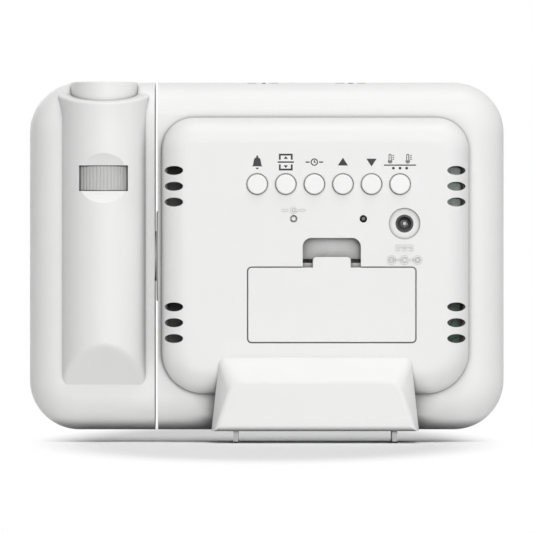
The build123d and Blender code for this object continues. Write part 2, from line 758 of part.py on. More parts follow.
# ---- Case: key board and what stands on it ------------------------------------------------------
with BuildPart() as key_board:
    board_x = (key_screws[0][0] - board_boss_radius - board_margin, key_screws[-1][0] + board_boss_radius)
    board_z = (jack_z - jack_block / 2 - board_margin, key_z + board_boss_radius + board_margin)
    block(board_x, (key_board_y - board_thickness, key_board_y), board_z)
    for x, z in key_screws:
        rod_y(x, (key_board_y - board_thickness, key_board_y), z, board_screw_radius + fit_gap,
              mode=Mode.SUBTRACT)
save(key_board.part, "key_board")

with BuildPart() as key_board_screws:
    for x, z in key_screws:
        rod_y(x, (key_board_y - board_thickness - screw_head_height, key_board_y - board_thickness), z,
              screw_head_ratio * board_screw_radius)
        rod_y(x, (key_board_y - board_thickness, key_board_y + board_screw_grip), z, board_screw_radius)
save(key_board_screws.part, "key_board_screws")

with BuildPart() as tact_switches:
    for x in key_xs:
        tact_switch(x, key_z)
    tact_switch(reset_x, reset_z)
save(tact_switches.part, "tact_switches")

with BuildPart() as light_sensor:
    sensor_end = bump_back_y - sensor_sunk
    rod_y(sensor_x, (sensor_end - sensor_length, sensor_end), reset_z, sensor_radius)
    fillet(light_sensor.faces().sort_by(Axis.Y)[-1].edges(), sensor_radius / 2)
    for side in (-1, 1):
        rod_y(sensor_x + side * sensor_radius / 2, (key_board_y, sensor_end - sensor_length), reset_z,
              sensor_lead_radius)
save(light_sensor.part, "light_sensor")

jack_face_y = bump_back_y - jack_recess_depth
with BuildPart() as dc_jack:
    block((jack_x - jack_block / 2, jack_x + jack_block / 2), (key_board_y, panel_inner_y - layer_gap),
          (jack_z - jack_block / 2, jack_z + jack_block / 2))
    rod_y(jack_x, (panel_inner_y - layer_gap, jack_face_y), jack_z, jack_barrel_radius)
    rod_y(jack_x, (jack_face_y - jack_bore_depth, jack_face_y), jack_z, jack_bore_radius,
          mode=Mode.SUBTRACT)
    rod_y(jack_x, (key_board_y, jack_face_y - jack_bore_depth), jack_z, jack_pin_root_radius,
          mode=Mode.SUBTRACT)
save(dc_jack.part, "dc_jack")

with BuildPart() as dc_jack_pin:
    rod_y(jack_x, (key_board_y, jack_face_y - jack_pin_sunk), jack_z, jack_pin_radius)
    fillet(dc_jack_pin.faces().sort_by(Axis.Y)[-1].edges(), jack_pin_radius / 2)
    rod_y(jack_x, (key_board_y, jack_face_y - jack_bore_depth), jack_z, jack_pin_root_radius)
save(dc_jack_pin.part, "dc_jack_pin")

# ---- Case: keys, reset pin and snooze bar -------------------------------------------------------
flange_y = (panel_inner_y - layer_gap - key_flange_thickness, panel_inner_y - layer_gap)

for key_name, x in zip(key_names, key_xs):
    with BuildPart() as key:
        rod_y(x, (flange_y[0], bump_back_y + key_proud), key_z, key_radius)
        fillet(key.faces().sort_by(Axis.Y)[-1].edges(), key_edge)
        rod_y(x, flange_y, key_z, key_flange_radius)
        rod_y(x, (switch_top_y + key_travel + axial_gap, flange_y[0]), key_z, key_stem_radius)
    save(key.part, key_name)

with BuildPart() as reset_pin:
    rod_y(reset_x, (switch_top_y + reset_travel + axial_gap, bump_back_y - reset_sunk), reset_z,
          reset_radius)
    fillet(reset_pin.faces().sort_by(Axis.Y)[-1].edges(), reset_radius / 2)
    rod_y(reset_x, flange_y, reset_z, reset_flange_radius)
save(reset_pin.part, "reset_pin")

with BuildPart() as snooze_board:
    snooze_board_y = (snooze_y - snooze_width / 2, snooze_y + snooze_post_depth + snooze_post_radius)
    block((snooze_x - snooze_board_length / 2, snooze_x + snooze_board_length / 2), snooze_board_y,
          (snooze_board_z - board_thickness, snooze_board_z))
    for side in (-1, 1):
        rod_z(snooze_x + side * snooze_post_spread, snooze_y + snooze_post_depth,
              (snooze_board_z - board_thickness, snooze_board_z), snooze_screw_radius + fit_gap,
              mode=Mode.SUBTRACT)
save(snooze_board.part, "snooze_board")

with BuildPart() as snooze_screws:
    for side in (-1, 1):
        x = snooze_x + side * snooze_post_spread
        under = snooze_board_z - board_thickness
        rod_z(x, snooze_y + snooze_post_depth, (under - screw_head_height, under),
              screw_head_ratio * snooze_screw_radius)
        rod_z(x, snooze_y + snooze_post_depth, (under, snooze_board_z + board_screw_grip),
              snooze_screw_radius)
save(snooze_screws.part, "snooze_screws")

with BuildPart() as snooze_switch:
    half = switch_size / 2
    block((snooze_x - half, snooze_x + half), (snooze_y - half, snooze_y + half),
          (snooze_board_z, snooze_board_z + switch_body))
    rod_z(snooze_x, snooze_y, (snooze_board_z + switch_body, snooze_board_z + switch_body + switch_plunger),
          switch_plunger_radius)
save(snooze_switch.part, "snooze_switch")

with BuildPart() as snooze_bar:
    snooze_flange_z = case_top_z - wall - layer_gap
    with BuildSketch(Plane.XY.offset(snooze_flange_z)):
        with Locations((snooze_x, snooze_y)):
            SlotOverall(snooze_length, snooze_width)
    extrude(amount=case_top_z - snooze_flange_z)
    fillet(snooze_bar.faces().sort_by(Axis.Z)[-1].edges(), key_edge)
    with BuildSketch(Plane.XY.offset(snooze_flange_z)):
        with Locations((snooze_x, snooze_y)):
            SlotOverall(snooze_length + 2 * snooze_flange, snooze_width + 2 * snooze_flange)
    extrude(amount=-snooze_flange_thickness)
    rod_z(snooze_x, snooze_y, (snooze_board_z + switch_body + switch_plunger + snooze_travel + axial_gap,
                               snooze_flange_z), key_stem_radius)
save(snooze_bar.part, "snooze_bar")

# ---- Case: battery bay --------------------------------------------------------------------------
tray_half_width = door_width / 2 + door_gap + tray_wall
tray_half_height = door_height / 2 + door_gap + tray_wall
hook_y = (panel_inner_y - layer_gap - hook_thickness, panel_inner_y - layer_gap)
door_low = door_z - door_height / 2
door_pivot = (bump_back_y - door_tilt_sunk, door_low + door_tilt_rise)
hook_radius = door_pivot[0] - hook_y[0]

with BuildPart() as battery_tray:
    block((door_x - tray_half_width, door_x + tray_half_width),
          (bay_floor_y - tray_wall, panel_inner_y - fit_gap),
          (door_z - tray_half_height, door_z + tray_half_height))
    block(bay_x, (bay_floor_y, bump_back_y), (door_z - bay_half_height, door_z + bay_half_height),
          mode=Mode.SUBTRACT)
    for x, z in tray_screws:
        upper = z > door_z
        ear_z = (door_z + tray_half_height - fit_gap, z + board_boss_radius) if upper else (
            z - board_boss_radius, door_z - tray_half_height + fit_gap)
        block((x - board_boss_radius, x + board_boss_radius),
              (ear_back_y - tray_ear_thickness, ear_back_y), ear_z)
        rod_y(x, (ear_back_y - tray_ear_thickness, ear_back_y), z, board_screw_radius + fit_gap,
              mode=Mode.SUBTRACT)
    for side in (-1, 1):
        x = door_x + side * hook_spread
        block((x - hook_width / 2 - slide_gap, x + hook_width / 2 + slide_gap),
              (hook_y[0] - hook_room, bump_back_y),
              (door_z - tray_half_height - fit_gap, door_pivot[1] + hook_radius + slide_gap),
              mode=Mode.SUBTRACT)
save(battery_tray.part, "battery_tray")

with BuildPart() as tray_screw_group:
    for x, z in tray_screws:
        ear_front = ear_back_y - tray_ear_thickness
        rod_y(x, (ear_front - screw_head_height, ear_front), z, screw_head_ratio * board_screw_radius)
        rod_y(x, (ear_front, ear_back_y + board_screw_grip), z, board_screw_radius)
save(tray_screw_group.part, "tray_screws")

with BuildPart() as battery_door:
    with BuildSketch(facing_front(bump_back_y)):
        with Locations((door_x, door_z)):
            RectangleRounded(door_width, door_height, door_corner)
    extrude(amount=door_thickness)
    fillet(battery_door.faces().sort_by(Axis.Y)[0].edges(), door_inner_edge)
    with BuildSketch(facing_front(bump_back_y)) as tab:
        with Locations((door_x, door_z + door_height / 2 + tab_height / 2 - door_corner / 2)):
            Rectangle(tab_width, tab_height + door_corner)
        fillet(tab.vertices().group_by(Axis.Y)[-1], door_corner)
    extrude(amount=tab_thickness)
    fillet(battery_door.faces().sort_by(Axis.Y)[-1].edges(), door_edge)
    # Each hook is round about the line that the door tilts on, and reaches down behind the panel.
    for side in (-1, 1):
        with BuildSketch(Plane.YZ.offset(door_x + side * hook_spread - hook_width / 2)):
            with Locations(door_pivot):
                Circle(hook_radius)
            with Locations((bump_back_y - door_thickness / 2, door_pivot[1])):
                Rectangle(2 * hook_radius, 2 * hook_radius,
                          align=(Align.MIN, Align.CENTER), mode=Mode.SUBTRACT)
            with Locations((hook_y[1], door_low + layer_gap)):
                Rectangle(2 * hook_radius, 2 * hook_radius,
                          align=(Align.MIN, Align.MAX), mode=Mode.SUBTRACT)
        extrude(amount=hook_width)
save(battery_door.part, "battery_door")

with BuildPart() as battery_contacts:
    for x in (bay_x[0], bay_x[1] - contact_thickness):
        for side in (-1, 1):
            z = door_z + side * (cell_radius + cell_gap / 2)
            block((x, x + contact_thickness), (cell_y - contact_size / 2, cell_y + contact_size / 2),
                  (z - contact_size / 2, z + contact_size / 2))
save(battery_contacts.part, "battery_contacts")

spring_ends = {"upper": bay_x[0] + contact_thickness, "lower": bay_x[1] - contact_thickness}
with BuildPart() as battery_springs:
    for place, side in (("upper", 1), ("lower", -1)):
        z = door_z + side * (cell_radius + cell_gap / 2)
        start = Vector(spring_ends[place] + side * spring_wire, cell_y, z)
        coil_length = spring_length - 2 * spring_wire
        with BuildLine() as coil:
            Helix(pitch=coil_length / spring_turns, height=coil_length, radius=spring_radius,
                  center=start, direction=(side, 0, 0))
        with BuildSketch(Plane(origin=coil.line @ 0, z_dir=coil.line % 0)) as wire:
            Circle(spring_wire)
        sweep(wire.sketch, path=coil.line, is_frenet=True)
save(battery_springs.part, "battery_springs")

for place, side in (("upper", 1), ("lower", -1)):
    z = door_z + side * (cell_radius + cell_gap / 2)
    base = spring_ends[place] + side * spring_length
    shoulder = base + side * cell_length
    nub = shoulder + side * cell_nub_length
    with BuildPart() as cell:
        rod_x((min(base, shoulder), max(base, shoulder)), cell_y, z, cell_radius)
        rod_x((min(shoulder, nub), max(shoulder, nub)), cell_y, z, cell_nub_radius)
    save(cell.part, f"battery_cell_{place}")

# ---- Case: speaker and skids --------------------------------------------------------------------
with BuildPart() as speaker:
    rod_z(bump_x, speaker_y, speaker_z, speaker_radius)
    rod_z(bump_x, speaker_y, (speaker_z[0], speaker_z[0] + speaker_cone_depth), speaker_cone_radius,
          mode=Mode.SUBTRACT)
    rod_z(bump_x, speaker_y, (speaker_z[1], speaker_z[1] + speaker_magnet_height), speaker_magnet_radius)
save(speaker.part, "speaker")

for side_name, x in skid_xs.items():
    with BuildPart() as skid:
        block((x - skid_thickness / 2, x + skid_thickness / 2), skid_y,
              (skid_tip_height, floor_z + fit_gap))
        block((x - skid_thickness / 2 - skid_flange, x + skid_thickness / 2 + skid_flange), skid_y,
              (floor_z + fit_gap, floor_z + fit_gap + skid_flange_thickness))
    save(skid.part, f"skid_{side_name}")
    with BuildPart() as skid_tip:
        half = skid_thickness / 2 + fit_gap
        block((x - half, x + half), skid_y, (0, skid_tip_height))
    save(skid_tip.part, f"skid_tip_{side_name}")

# ---- Swivel -------------------------------------------------------------------------------------
with BuildPart() as pivot_bush:
    rod_x((bush_inner_x, case_side_x), hinge_y, hinge_z, bush_radius)
    with BuildSketch(Plane.YZ.offset(case_side_x)):
        with Locations((hinge_y, hinge_z)):
            SlotOverall(pad_height, pad_width, rotation=90)
    extrude(amount=pad_thickness)
    rod_x((bush_inner_x, case_side_x + pad_thickness), hinge_y, hinge_z, hub_radius + bush_fit,
          mode=Mode.SUBTRACT)
save(pivot_bush.part, "pivot_bush")

with BuildPart() as friction_washer:
    rod_x(washer_x, hinge_y, hinge_z, bush_radius)
    rod_x(washer_x, hinge_y, hinge_z, hub_radius + fit_gap, mode=Mode.SUBTRACT)
save(friction_washer.part, "friction_washer")

with BuildPart() as pivot_hub:
    rod_x((hub_end_x, flange_x + flange_thickness), hinge_y, hinge_z, hub_radius)
    with BuildSketch(Plane.YZ.offset(flange_x)):
        with Locations((hinge_y, hinge_z)):
            SlotOverall(flange_height, flange_width, rotation=90)
    extrude(amount=flange_thickness)
    rod_x((hub_end_x, flange_x + flange_thickness), hinge_y, hinge_z, hub_bore, mode=Mode.SUBTRACT)
    for side in (-1, 1):
        rod_x((flange_x, flange_x + flange_thickness), hinge_y, hinge_z + side * hub_screw_spread,
              board_screw_radius + fit_gap, mode=Mode.SUBTRACT)
    with BuildPart(mode=Mode.PRIVATE) as groove:
        rod_x((clip_x[0] - axial_gap, clip_x[1] + axial_gap), hinge_y, hinge_z, hub_radius + fit_gap)
        rod_x((clip_x[0] - axial_gap, clip_x[1] + axial_gap), hinge_y, hinge_z, hub_radius - clip_bite,
              mode=Mode.SUBTRACT)
    add(groove.part, mode=Mode.SUBTRACT)
save(pivot_hub.part, "pivot_hub")

with BuildPart() as hub_clip:
    rod_x(clip_x, hinge_y, hinge_z, bush_radius)
    rod_x(clip_x, hinge_y, hinge_z, hub_radius - clip_bite + fit_gap, mode=Mode.SUBTRACT)
    block(clip_x, (hinge_y - clip_mouth / 2, hinge_y + clip_mouth / 2), (hinge_z - 2 * hub_radius, hinge_z),
          mode=Mode.SUBTRACT)
save(hub_clip.part, "hub_clip")

with BuildPart() as hub_screws:
    for side in (-1, 1):
        z = hinge_z + side * hub_screw_spread
        rod_x((wing_side_x + wall + fit_gap, flange_x + flange_thickness), hinge_y, z, board_screw_radius)
        rod_x((flange_x + flange_thickness, flange_x + flange_thickness + screw_head_height), hinge_y, z,
              screw_head_ratio * board_screw_radius)
save(hub_screws.part, "hub_screws")

# ---- Wing: shells -------------------------------------------------------------------------------
window_z = (focus_z - window_height / 2, focus_z + window_height / 2)

with BuildPart() as focus_housing:
    rod_z(tube_x, tube_axis_y, (window_z[0] - housing_reach, window_z[1] + housing_reach),
          tube_radius - wall / 2)
    keep(y=(lens_y, far))
    rod_z(tube_x, lens_y, (window_z[0] - 2 * housing_reach, window_z[1] + 2 * housing_reach),
          barrel_radius + slide_gap, mode=Mode.SUBTRACT)
    rod_z(tube_x, lens_y, (ring_z[0] - slide_gap, ring_z[1] + slide_gap), ring_radius + slide_gap,
          mode=Mode.SUBTRACT)

with BuildPart() as wing_back:
    add(slab(0, wing_x))
    add(tube(0))
    add(cavity(wing_x), mode=Mode.SUBTRACT)
    add(tube(wall), mode=Mode.SUBTRACT)
    keep(y=(split_y, far))
    add(focus_housing.part)
    # The finger scoop with the focus window, and the hole for the lens collar.
    rod_x((tube_x - tube_radius, tube_x + tube_radius), crown_y - scoop_depth + scoop_radius, focus_z,
          scoop_radius, mode=Mode.SUBTRACT)
    block((tube_x - window_width / 2, tube_x + window_width / 2), (lens_y + ring_radius / 2, crown_y),
          window_z, mode=Mode.SUBTRACT)
    rod_z(tube_x, lens_y, (collar_z[1] - collar_head - fit_gap, collar_z[1] + fit_gap),
          collar_radius + fit_gap, mode=Mode.SUBTRACT)
    # Seats for the hub's flange and the projector chassis.
    for side in (-1, 1):
        z = hinge_z + side * hub_screw_spread
        rod_x((wing_side_x + wall - fit_gap, flange_x), hinge_y, z, hub_boss_radius)
        rod_x((wing_side_x + wall, flange_x + fit_gap), hinge_y, z, board_screw_radius, mode=Mode.SUBTRACT)
    rod_x((wing_side_x - fit_gap, wing_side_x + wall + fit_gap), hinge_y, hinge_z, hub_radius + fit_gap,
          mode=Mode.SUBTRACT)
    for x, z in chassis_ears:
        rod_y(x, (lens_y + ear_thickness / 2, slab_back_y + wall / 2), z, ear_reach / 2)
        rod_y(x, (lens_y + ear_thickness / 2 - fit_gap, slab_back_y - wall), z, ear_screw_radius,
              mode=Mode.SUBTRACT)
save(wing_back.part, "wing_back")

with BuildPart() as wing_front:
    add(front_shell(wing_x))
    rod_x((wing_side_x - fit_gap, flange_x), hinge_y, hinge_z, hub_radius + fit_gap, mode=Mode.SUBTRACT)
save(wing_front.part, "wing_front")

# ---- Wing: projector ----------------------------------------------------------------------------
with BuildPart() as projector_chassis:
    rod_z(tube_x, lens_y, chassis_z, barrel_radius)
    for x, z in chassis_ears:
        inner = tube_x + (x - tube_x) * (barrel_radius - fit_gap) / (barrel_radius + ear_reach / 2)
        outer = x + (ear_reach / 2 if x > tube_x else -ear_reach / 2)
        block((min(inner, outer), max(inner, outer)),
              (lens_y - ear_thickness / 2, lens_y + ear_thickness / 2),
              (z - ear_height / 2, z + ear_height / 2))
        rod_y(x, (lens_y - ear_thickness / 2, lens_y + ear_thickness / 2), z, ear_screw_radius + fit_gap,
              mode=Mode.SUBTRACT)
    rod_z(tube_x, lens_y, (chassis_z[0] + chassis_floor, chassis_z[1]), bore_radius, mode=Mode.SUBTRACT)
    rod_z(tube_x, lens_y, chassis_z, bore_radius - chassis_ledge, mode=Mode.SUBTRACT)
save(projector_chassis.part, "projector_chassis")

with BuildPart() as chassis_screws:
    for x, z in chassis_ears:
        ear_front = lens_y - ear_thickness / 2
        rod_y(x, (ear_front - screw_head_height, ear_front), z, screw_head_ratio * ear_screw_radius)
        rod_y(x, (ear_front, slab_back_y - 2 * wall), z, ear_screw_radius)
save(chassis_screws.part, "chassis_screws")

with BuildPart() as lamp_board:
    rod_z(tube_x, lens_y, (lamp_z - lamp_board_thickness, lamp_z), bore_radius - fit_gap)
save(lamp_board.part, "lamp_board")

with BuildPart() as projector_lamp:
    rod_z(tube_x, lens_y, (lamp_z, lamp_z + lamp_height), lamp_radius)
    fillet(projector_lamp.faces().sort_by(Axis.Z)[-1].edges(), lamp_dome)
save(projector_lamp.part, "projector_lamp")

condenser_lens = lens(lamp_z + condenser_height, bore_radius - fit_gap, condenser_edge, 0, condenser_crown)
save(condenser_lens, "condenser_lens")

with BuildPart() as image_holder:
    image_z = (lamp_z + image_height, lamp_z + image_height + holder_thickness)
    half = image_size / 2 + fit_gap
    rod_z(tube_x, lens_y, image_z, bore_radius - fit_gap)
    block((tube_x - half, tube_x + half), (lens_y - half, lens_y + half),
          (image_z[1] - image_thickness - fit_gap, image_z[1]), mode=Mode.SUBTRACT)
    rod_z(tube_x, lens_y, image_z, image_size / 2 - holder_wall, mode=Mode.SUBTRACT)
save(image_holder.part, "image_holder")

with BuildPart() as image_lcd:
    block((tube_x - image_size / 2, tube_x + image_size / 2),
          (lens_y - image_size / 2, lens_y + image_size / 2), (image_z[1] - image_thickness, image_z[1]))
save(image_lcd.part, "image_lcd")

carrier_z = (focus_z - carrier_length / 2, focus_z + carrier_length / 2)
with BuildPart() as lens_carrier:
    rod_z(tube_x, lens_y, carrier_z, carrier_radius)
    rod_z(tube_x, lens_y, carrier_z, carrier_radius - 2 * carrier_wall, mode=Mode.SUBTRACT)
    rod_z(tube_x, lens_y, (carrier_z[1] - lens_edge - lens_crown, carrier_z[1]),
          carrier_radius - carrier_wall, mode=Mode.SUBTRACT)
save(lens_carrier.part, "lens_carrier")

projection_lens = lens(carrier_z[1] - lens_edge - lens_crown, carrier_radius - carrier_wall - fit_gap,
                       lens_edge, 0, lens_crown)
save(projection_lens, "projection_lens")

with BuildPart() as focus_ring:
    with BuildSketch(Plane.XY.offset(ring_z[0])):
        with Locations((tube_x, lens_y)):
            Circle(ring_radius)
            Circle(bore_radius, mode=Mode.SUBTRACT)
            with PolarLocations(ring_radius + rib_radius / 2, ring_ribs):
                Circle(rib_radius, mode=Mode.SUBTRACT)
    extrude(amount=ring_height)
save(focus_ring.part, "focus_ring")

with BuildPart() as lens_collar:
    rod_z(tube_x, lens_y, collar_z, barrel_radius)
    rod_z(tube_x, lens_y, (collar_z[1] - collar_head, collar_z[1]), collar_radius)
    rod_z(tube_x, lens_y, (collar_z[0], collar_z[1] - collar_lip), bore_radius, mode=Mode.SUBTRACT)
    rod_z(tube_x, lens_y, (collar_z[0], collar_z[1]), aperture_radius, mode=Mode.SUBTRACT)
    chamfer(lens_collar.faces().sort_by(Axis.Z)[-1].inner_wires()[0].edges(), aperture_chamfer)
    fillet(lens_collar.faces().sort_by(Axis.Z)[-1].outer_wire().edges(), key_edge)
save(lens_collar.part, "lens_collar")

exit_lens = lens(collar_z[1] - collar_lip - fit_gap - exit_lens_thickness, bore_radius - fit_gap,
                 exit_lens_thickness, exit_lens_crown, 0)
save(exit_lens, "exit_lens")
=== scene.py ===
# %% [markdown]
# # A projection alarm clock, seen from behind
# The clock is a white moulded case with a projector wing at its side. Its solid pieces come from the
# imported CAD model, which loads as a fixed frame in metres. X runs along the width, Y from the display
# to the keys, and Z up. Each surface gets its finish here, and the prints, raised marks and display
# digits that the solids leave out are added as thin meshes of their own.

import json
import math

import bmesh
import bpy
import numpy as np
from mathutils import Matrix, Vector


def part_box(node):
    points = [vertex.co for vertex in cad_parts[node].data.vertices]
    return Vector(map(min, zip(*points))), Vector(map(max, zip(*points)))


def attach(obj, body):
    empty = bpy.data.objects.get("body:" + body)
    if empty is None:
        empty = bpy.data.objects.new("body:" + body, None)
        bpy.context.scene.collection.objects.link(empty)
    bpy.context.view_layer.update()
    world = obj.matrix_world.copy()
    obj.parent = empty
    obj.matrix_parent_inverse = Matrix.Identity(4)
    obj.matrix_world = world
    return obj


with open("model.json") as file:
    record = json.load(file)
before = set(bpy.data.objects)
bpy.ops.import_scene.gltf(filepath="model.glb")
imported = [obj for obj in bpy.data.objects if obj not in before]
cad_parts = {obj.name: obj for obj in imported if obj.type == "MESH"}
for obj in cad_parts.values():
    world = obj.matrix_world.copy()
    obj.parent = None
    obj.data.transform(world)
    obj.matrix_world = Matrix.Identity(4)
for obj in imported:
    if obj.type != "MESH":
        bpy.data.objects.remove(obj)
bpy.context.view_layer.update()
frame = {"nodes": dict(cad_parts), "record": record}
MM = 0.001

# %% [markdown]
# ## Camera
# The clock is looked at squarely from behind, with the eye at half its height, so neither its top nor
# its sides open up. A long lens three metres away keeps the foot and the far edge at nearly one scale.
# The Standard view shows a colour as it is written, where the default view would dim the whites.

# %% Camera behind the clock
bpy.context.scene.view_settings.view_transform = "Standard"
EYE_DISTANCE = 3.0
EYE_SIDE = 0.1 * MM
EYE_HEIGHT = 70.2 * MM
SUBJECT_Y = 2 * MM          # the depth at which the frame's width is measured
FRAME_WIDTH = 213.2 * MM
SENSOR = 36.0               # its width in mm, as Blender counts it
FAR_CLIP = 100

camera = bpy.data.objects.new("camera", bpy.data.cameras.new("camera"))
bpy.context.scene.collection.objects.link(camera)
camera.location = (EYE_SIDE, SUBJECT_Y + EYE_DISTANCE, EYE_HEIGHT)
camera.rotation_euler = (math.radians(90), 0, math.radians(180))
camera.data.sensor_width = SENSOR
camera.data.lens = SENSOR * EYE_DISTANCE / FRAME_WIDTH
camera.data.clip_end = FAR_CLIP
bpy.context.scene.camera = camera
print("the lens is", round(camera.data.lens), "mm long")

# %% [markdown]
# ## Building shader nodes
# A node tree reads best when each node is one line that names its kind, its settings and what feeds
# it. These helpers do that, for materials and for the groups that several materials share.


# %% Helpers for node trees
def feed(tree, value, socket):
    """Link an output to a socket, or set a plain value on it."""
    if isinstance(value, bpy.types.NodeSocket):
        tree.links.new(value, socket)
    else:
        socket.default_value = value


def put(tree, kind, settings=None, **feeds):
    """Add a node. settings are its own properties, feeds its inputs, named with _ for a space."""
    node = tree.nodes.new("ShaderNode" + kind)
    for name, value in (settings or {}).items():
        setattr(node, name, value)
    for name, value in feeds.items():
        feed(tree, value, node.inputs[name.replace("_", " ")])
    return node.outputs


def put_in_order(tree, kind, *values, **settings):
    """Add a node whose inputs share one name, so they are fed by their order."""
    node = tree.nodes.new("ShaderNode" + kind)
    for name, value in settings.items():
        setattr(node, name, value)
    for value, socket in zip(values, node.inputs):
        feed(tree, value, socket)
    return node.outputs


def blended(tree, share, first, second):
    """A colour between two colours: the first where share is 0, the second where it is 1."""
    node = tree.nodes.new("ShaderNodeMix")
    node.data_type = "RGBA"
    colours = [socket for socket in node.inputs if socket.type == "RGBA"]
    for value, socket in zip((share, first, second), (node.inputs[0], *colours)):
        feed(tree, (*value, 1) if isinstance(value, tuple) else value, socket)
    return next(socket for socket in node.outputs if socket.type == "RGBA")


def new_group(name, inputs, outputs):
    """A node group with number inputs, given with their defaults, and number outputs."""
    tree = bpy.data.node_groups.new(name, "ShaderNodeTree")
    for label, default in inputs.items():
        socket = tree.interface.new_socket(name=label, in_out="INPUT", socket_type="NodeSocketFloat")
        socket.default_value = default
    for label in outputs:
        tree.interface.new_socket(name=label, in_out="OUTPUT", socket_type="NodeSocketFloat")
    return tree, tree.nodes.new("NodeGroupInput").outputs, tree.nodes.new("NodeGroupOutput").inputs


def place(tree, group, **values):
    """Put a shared group into a material, with that material's own values."""
    node = tree.nodes.new("ShaderNodeGroup")
    node.node_tree = group
    for name, value in values.items():
        node.inputs[name.replace("_", " ")].default_value = value
    return node.outputs


def new_finish(name, **sockets):
    """A material, its tree and its Principled shader's inputs, with plain values set on those."""
    material = bpy.data.materials.new(name)
    material.use_nodes = True
    shader = material.node_tree.nodes["Principled BSDF"]
    for label, value in sockets.items():
        shader.inputs[label.replace("_", " ")].default_value = value
    return material, material.node_tree, shader.inputs


# %% [markdown]
# ## Moulded grain
# Moulded plastic isn't mirror smooth. The mould's spark-eroded face leaves a grain of a few tenths of a
# millimetre, and the gloss wanders a little from place to place. One group makes both from noise, and
# every plastic, rubber and metal uses it with a grain of its own.

# %% The grain group
CLOUD_LOW, CLOUD_HIGH = 0.3, 0.7    # the noise lies mostly between these

grain, grain_in, grain_out = new_group(
    "moulded_grain",
    {"Grain per metre": 2500.0, "Cloud per metre": 60.0, "Roughness low": 0.4, "Roughness high": 0.5},
    ["Height", "Roughness", "Cloud"])
grain_at = put(grain, "TexCoord")["Object"]
fine = put(grain, "TexNoise", Vector=grain_at, Scale=grain_in["Grain per metre"], Detail=2.0)["Fac"]
cloud = put(grain, "TexNoise", Vector=grain_at, Scale=grain_in["Cloud per metre"], Detail=3.0)["Fac"]
gloss = put(grain, "MapRange", Value=cloud, From_Min=CLOUD_LOW, From_Max=CLOUD_HIGH,
            To_Min=grain_in["Roughness low"], To_Max=grain_in["Roughness high"])["Result"]
feed(grain, fine, grain_out["Height"])
feed(grain, gloss, grain_out["Roughness"])
feed(grain, cloud, grain_out["Cloud"])
print(grain.name, "has", len(grain.nodes), "nodes")

# %% [markdown]
# ## Painted shade in creases and deep hollows
# Where two walls of a white case meet, the narrow corner lets little light out, so it reads as a thin grey
# line. That shade is painted into the colour here: ambient occlusion over about a millimetre finds such
# corners. Over about a centimetre it finds deep hollows, such as the thumb pocket above the battery door,
# which get painted shade for the same reason, so one group serves both.

# %% The painted shade group
CREASE_SHADE_REACH = 1.5 * MM
FULLY_CLOSED = 0.35         # the open share around a point at which it takes its full shade
CREASE_CLEAR = 0.85         # the open share from which a crease has no shade
HOLLOW_CLEAR = 0.74         # and from which a deep hollow has none
OCCLUSION_SAMPLES = 6

painted_shade, painted_shade_in, painted_shade_out = new_group(
    "painted_shade", {"Reach": CREASE_SHADE_REACH, "Closed": FULLY_CLOSED, "Clear": CREASE_CLEAR}, ["Open"])
nearby = put(painted_shade, "AmbientOcclusion", {"samples": OCCLUSION_SAMPLES}, Distance=painted_shade_in["Reach"])["AO"]
opened = put(painted_shade, "MapRange", Value=nearby, From_Min=painted_shade_in["Closed"], From_Max=painted_shade_in["Clear"])
feed(painted_shade, opened["Result"], painted_shade_out["Open"])
print(painted_shade.name, "has", len(painted_shade.nodes), "nodes")

# %% [markdown]
# ## Plastic, rubber and metal
# These finishes differ in colour, gloss and grain, so one recipe makes them all. The shell is a satin
# white, the keys are glossier, the focus ring is a plain grey and its ribs read by the shade painted into
# their valleys. The shell, the keys and the battery holder also get shade painted into their creases,
# and the shell and the holder into their deep hollows.

# %% The moulded recipe
CLOUD_CONTRAST = 0.02       # how far the clouds go above and below the colour, as a share of it
GLOSS_SPREAD = 0.05         # how far roughness wanders above and below its middle


def moulded(name, colour, rough, grain_mm=0.4, depth_mm=0.01, cloudy=CLOUD_CONTRAST, crease_shade_mm=0.0,
            crease_shade_tone=0.5, hollow_shade_mm=0.0, hollow_shade_tone=0.7, **sockets):
    """A colour, clouded a little, over a fine grain, with shade painted into its creases and deep hollows.
    Each of those two has a reach in mm, where 0 leaves it out, and a tone, the painted shade's share of the
    colour."""
    material, tree, shader = new_finish(name, **sockets)
    surface = place(tree, grain, Grain_per_metre=1 / (grain_mm * MM), Roughness_low=rough - GLOSS_SPREAD,
                    Roughness_high=rough + GLOSS_SPREAD)
    tone = blended(tree, surface["Cloud"], tuple(part * (1 - cloudy) for part in colour),
                   tuple(min(part * (1 + cloudy), 1) for part in colour))
    # Shade is painted into the colour wherever ambient occlusion finds a deep hollow or a crease.
    shades = ((hollow_shade_mm, hollow_shade_tone, HOLLOW_CLEAR), (crease_shade_mm, crease_shade_tone, CREASE_CLEAR))
    for reach_mm, shade, clear_from in shades:
        if reach_mm:
            unshaded_share = place(tree, painted_shade, Reach=reach_mm * MM, Clear=clear_from)["Open"]
            tone = blended(tree, unshaded_share, tuple(part * shade for part in colour), tone)
    feed(tree, tone, shader["Base Color"])
    feed(tree, surface["Roughness"], shader["Roughness"])
    if depth_mm:
        bump = put(tree, "Bump", Strength=1.0, Distance=depth_mm * MM, Height=surface["Height"])
        feed(tree, bump["Normal"], shader["Normal"])
    return material


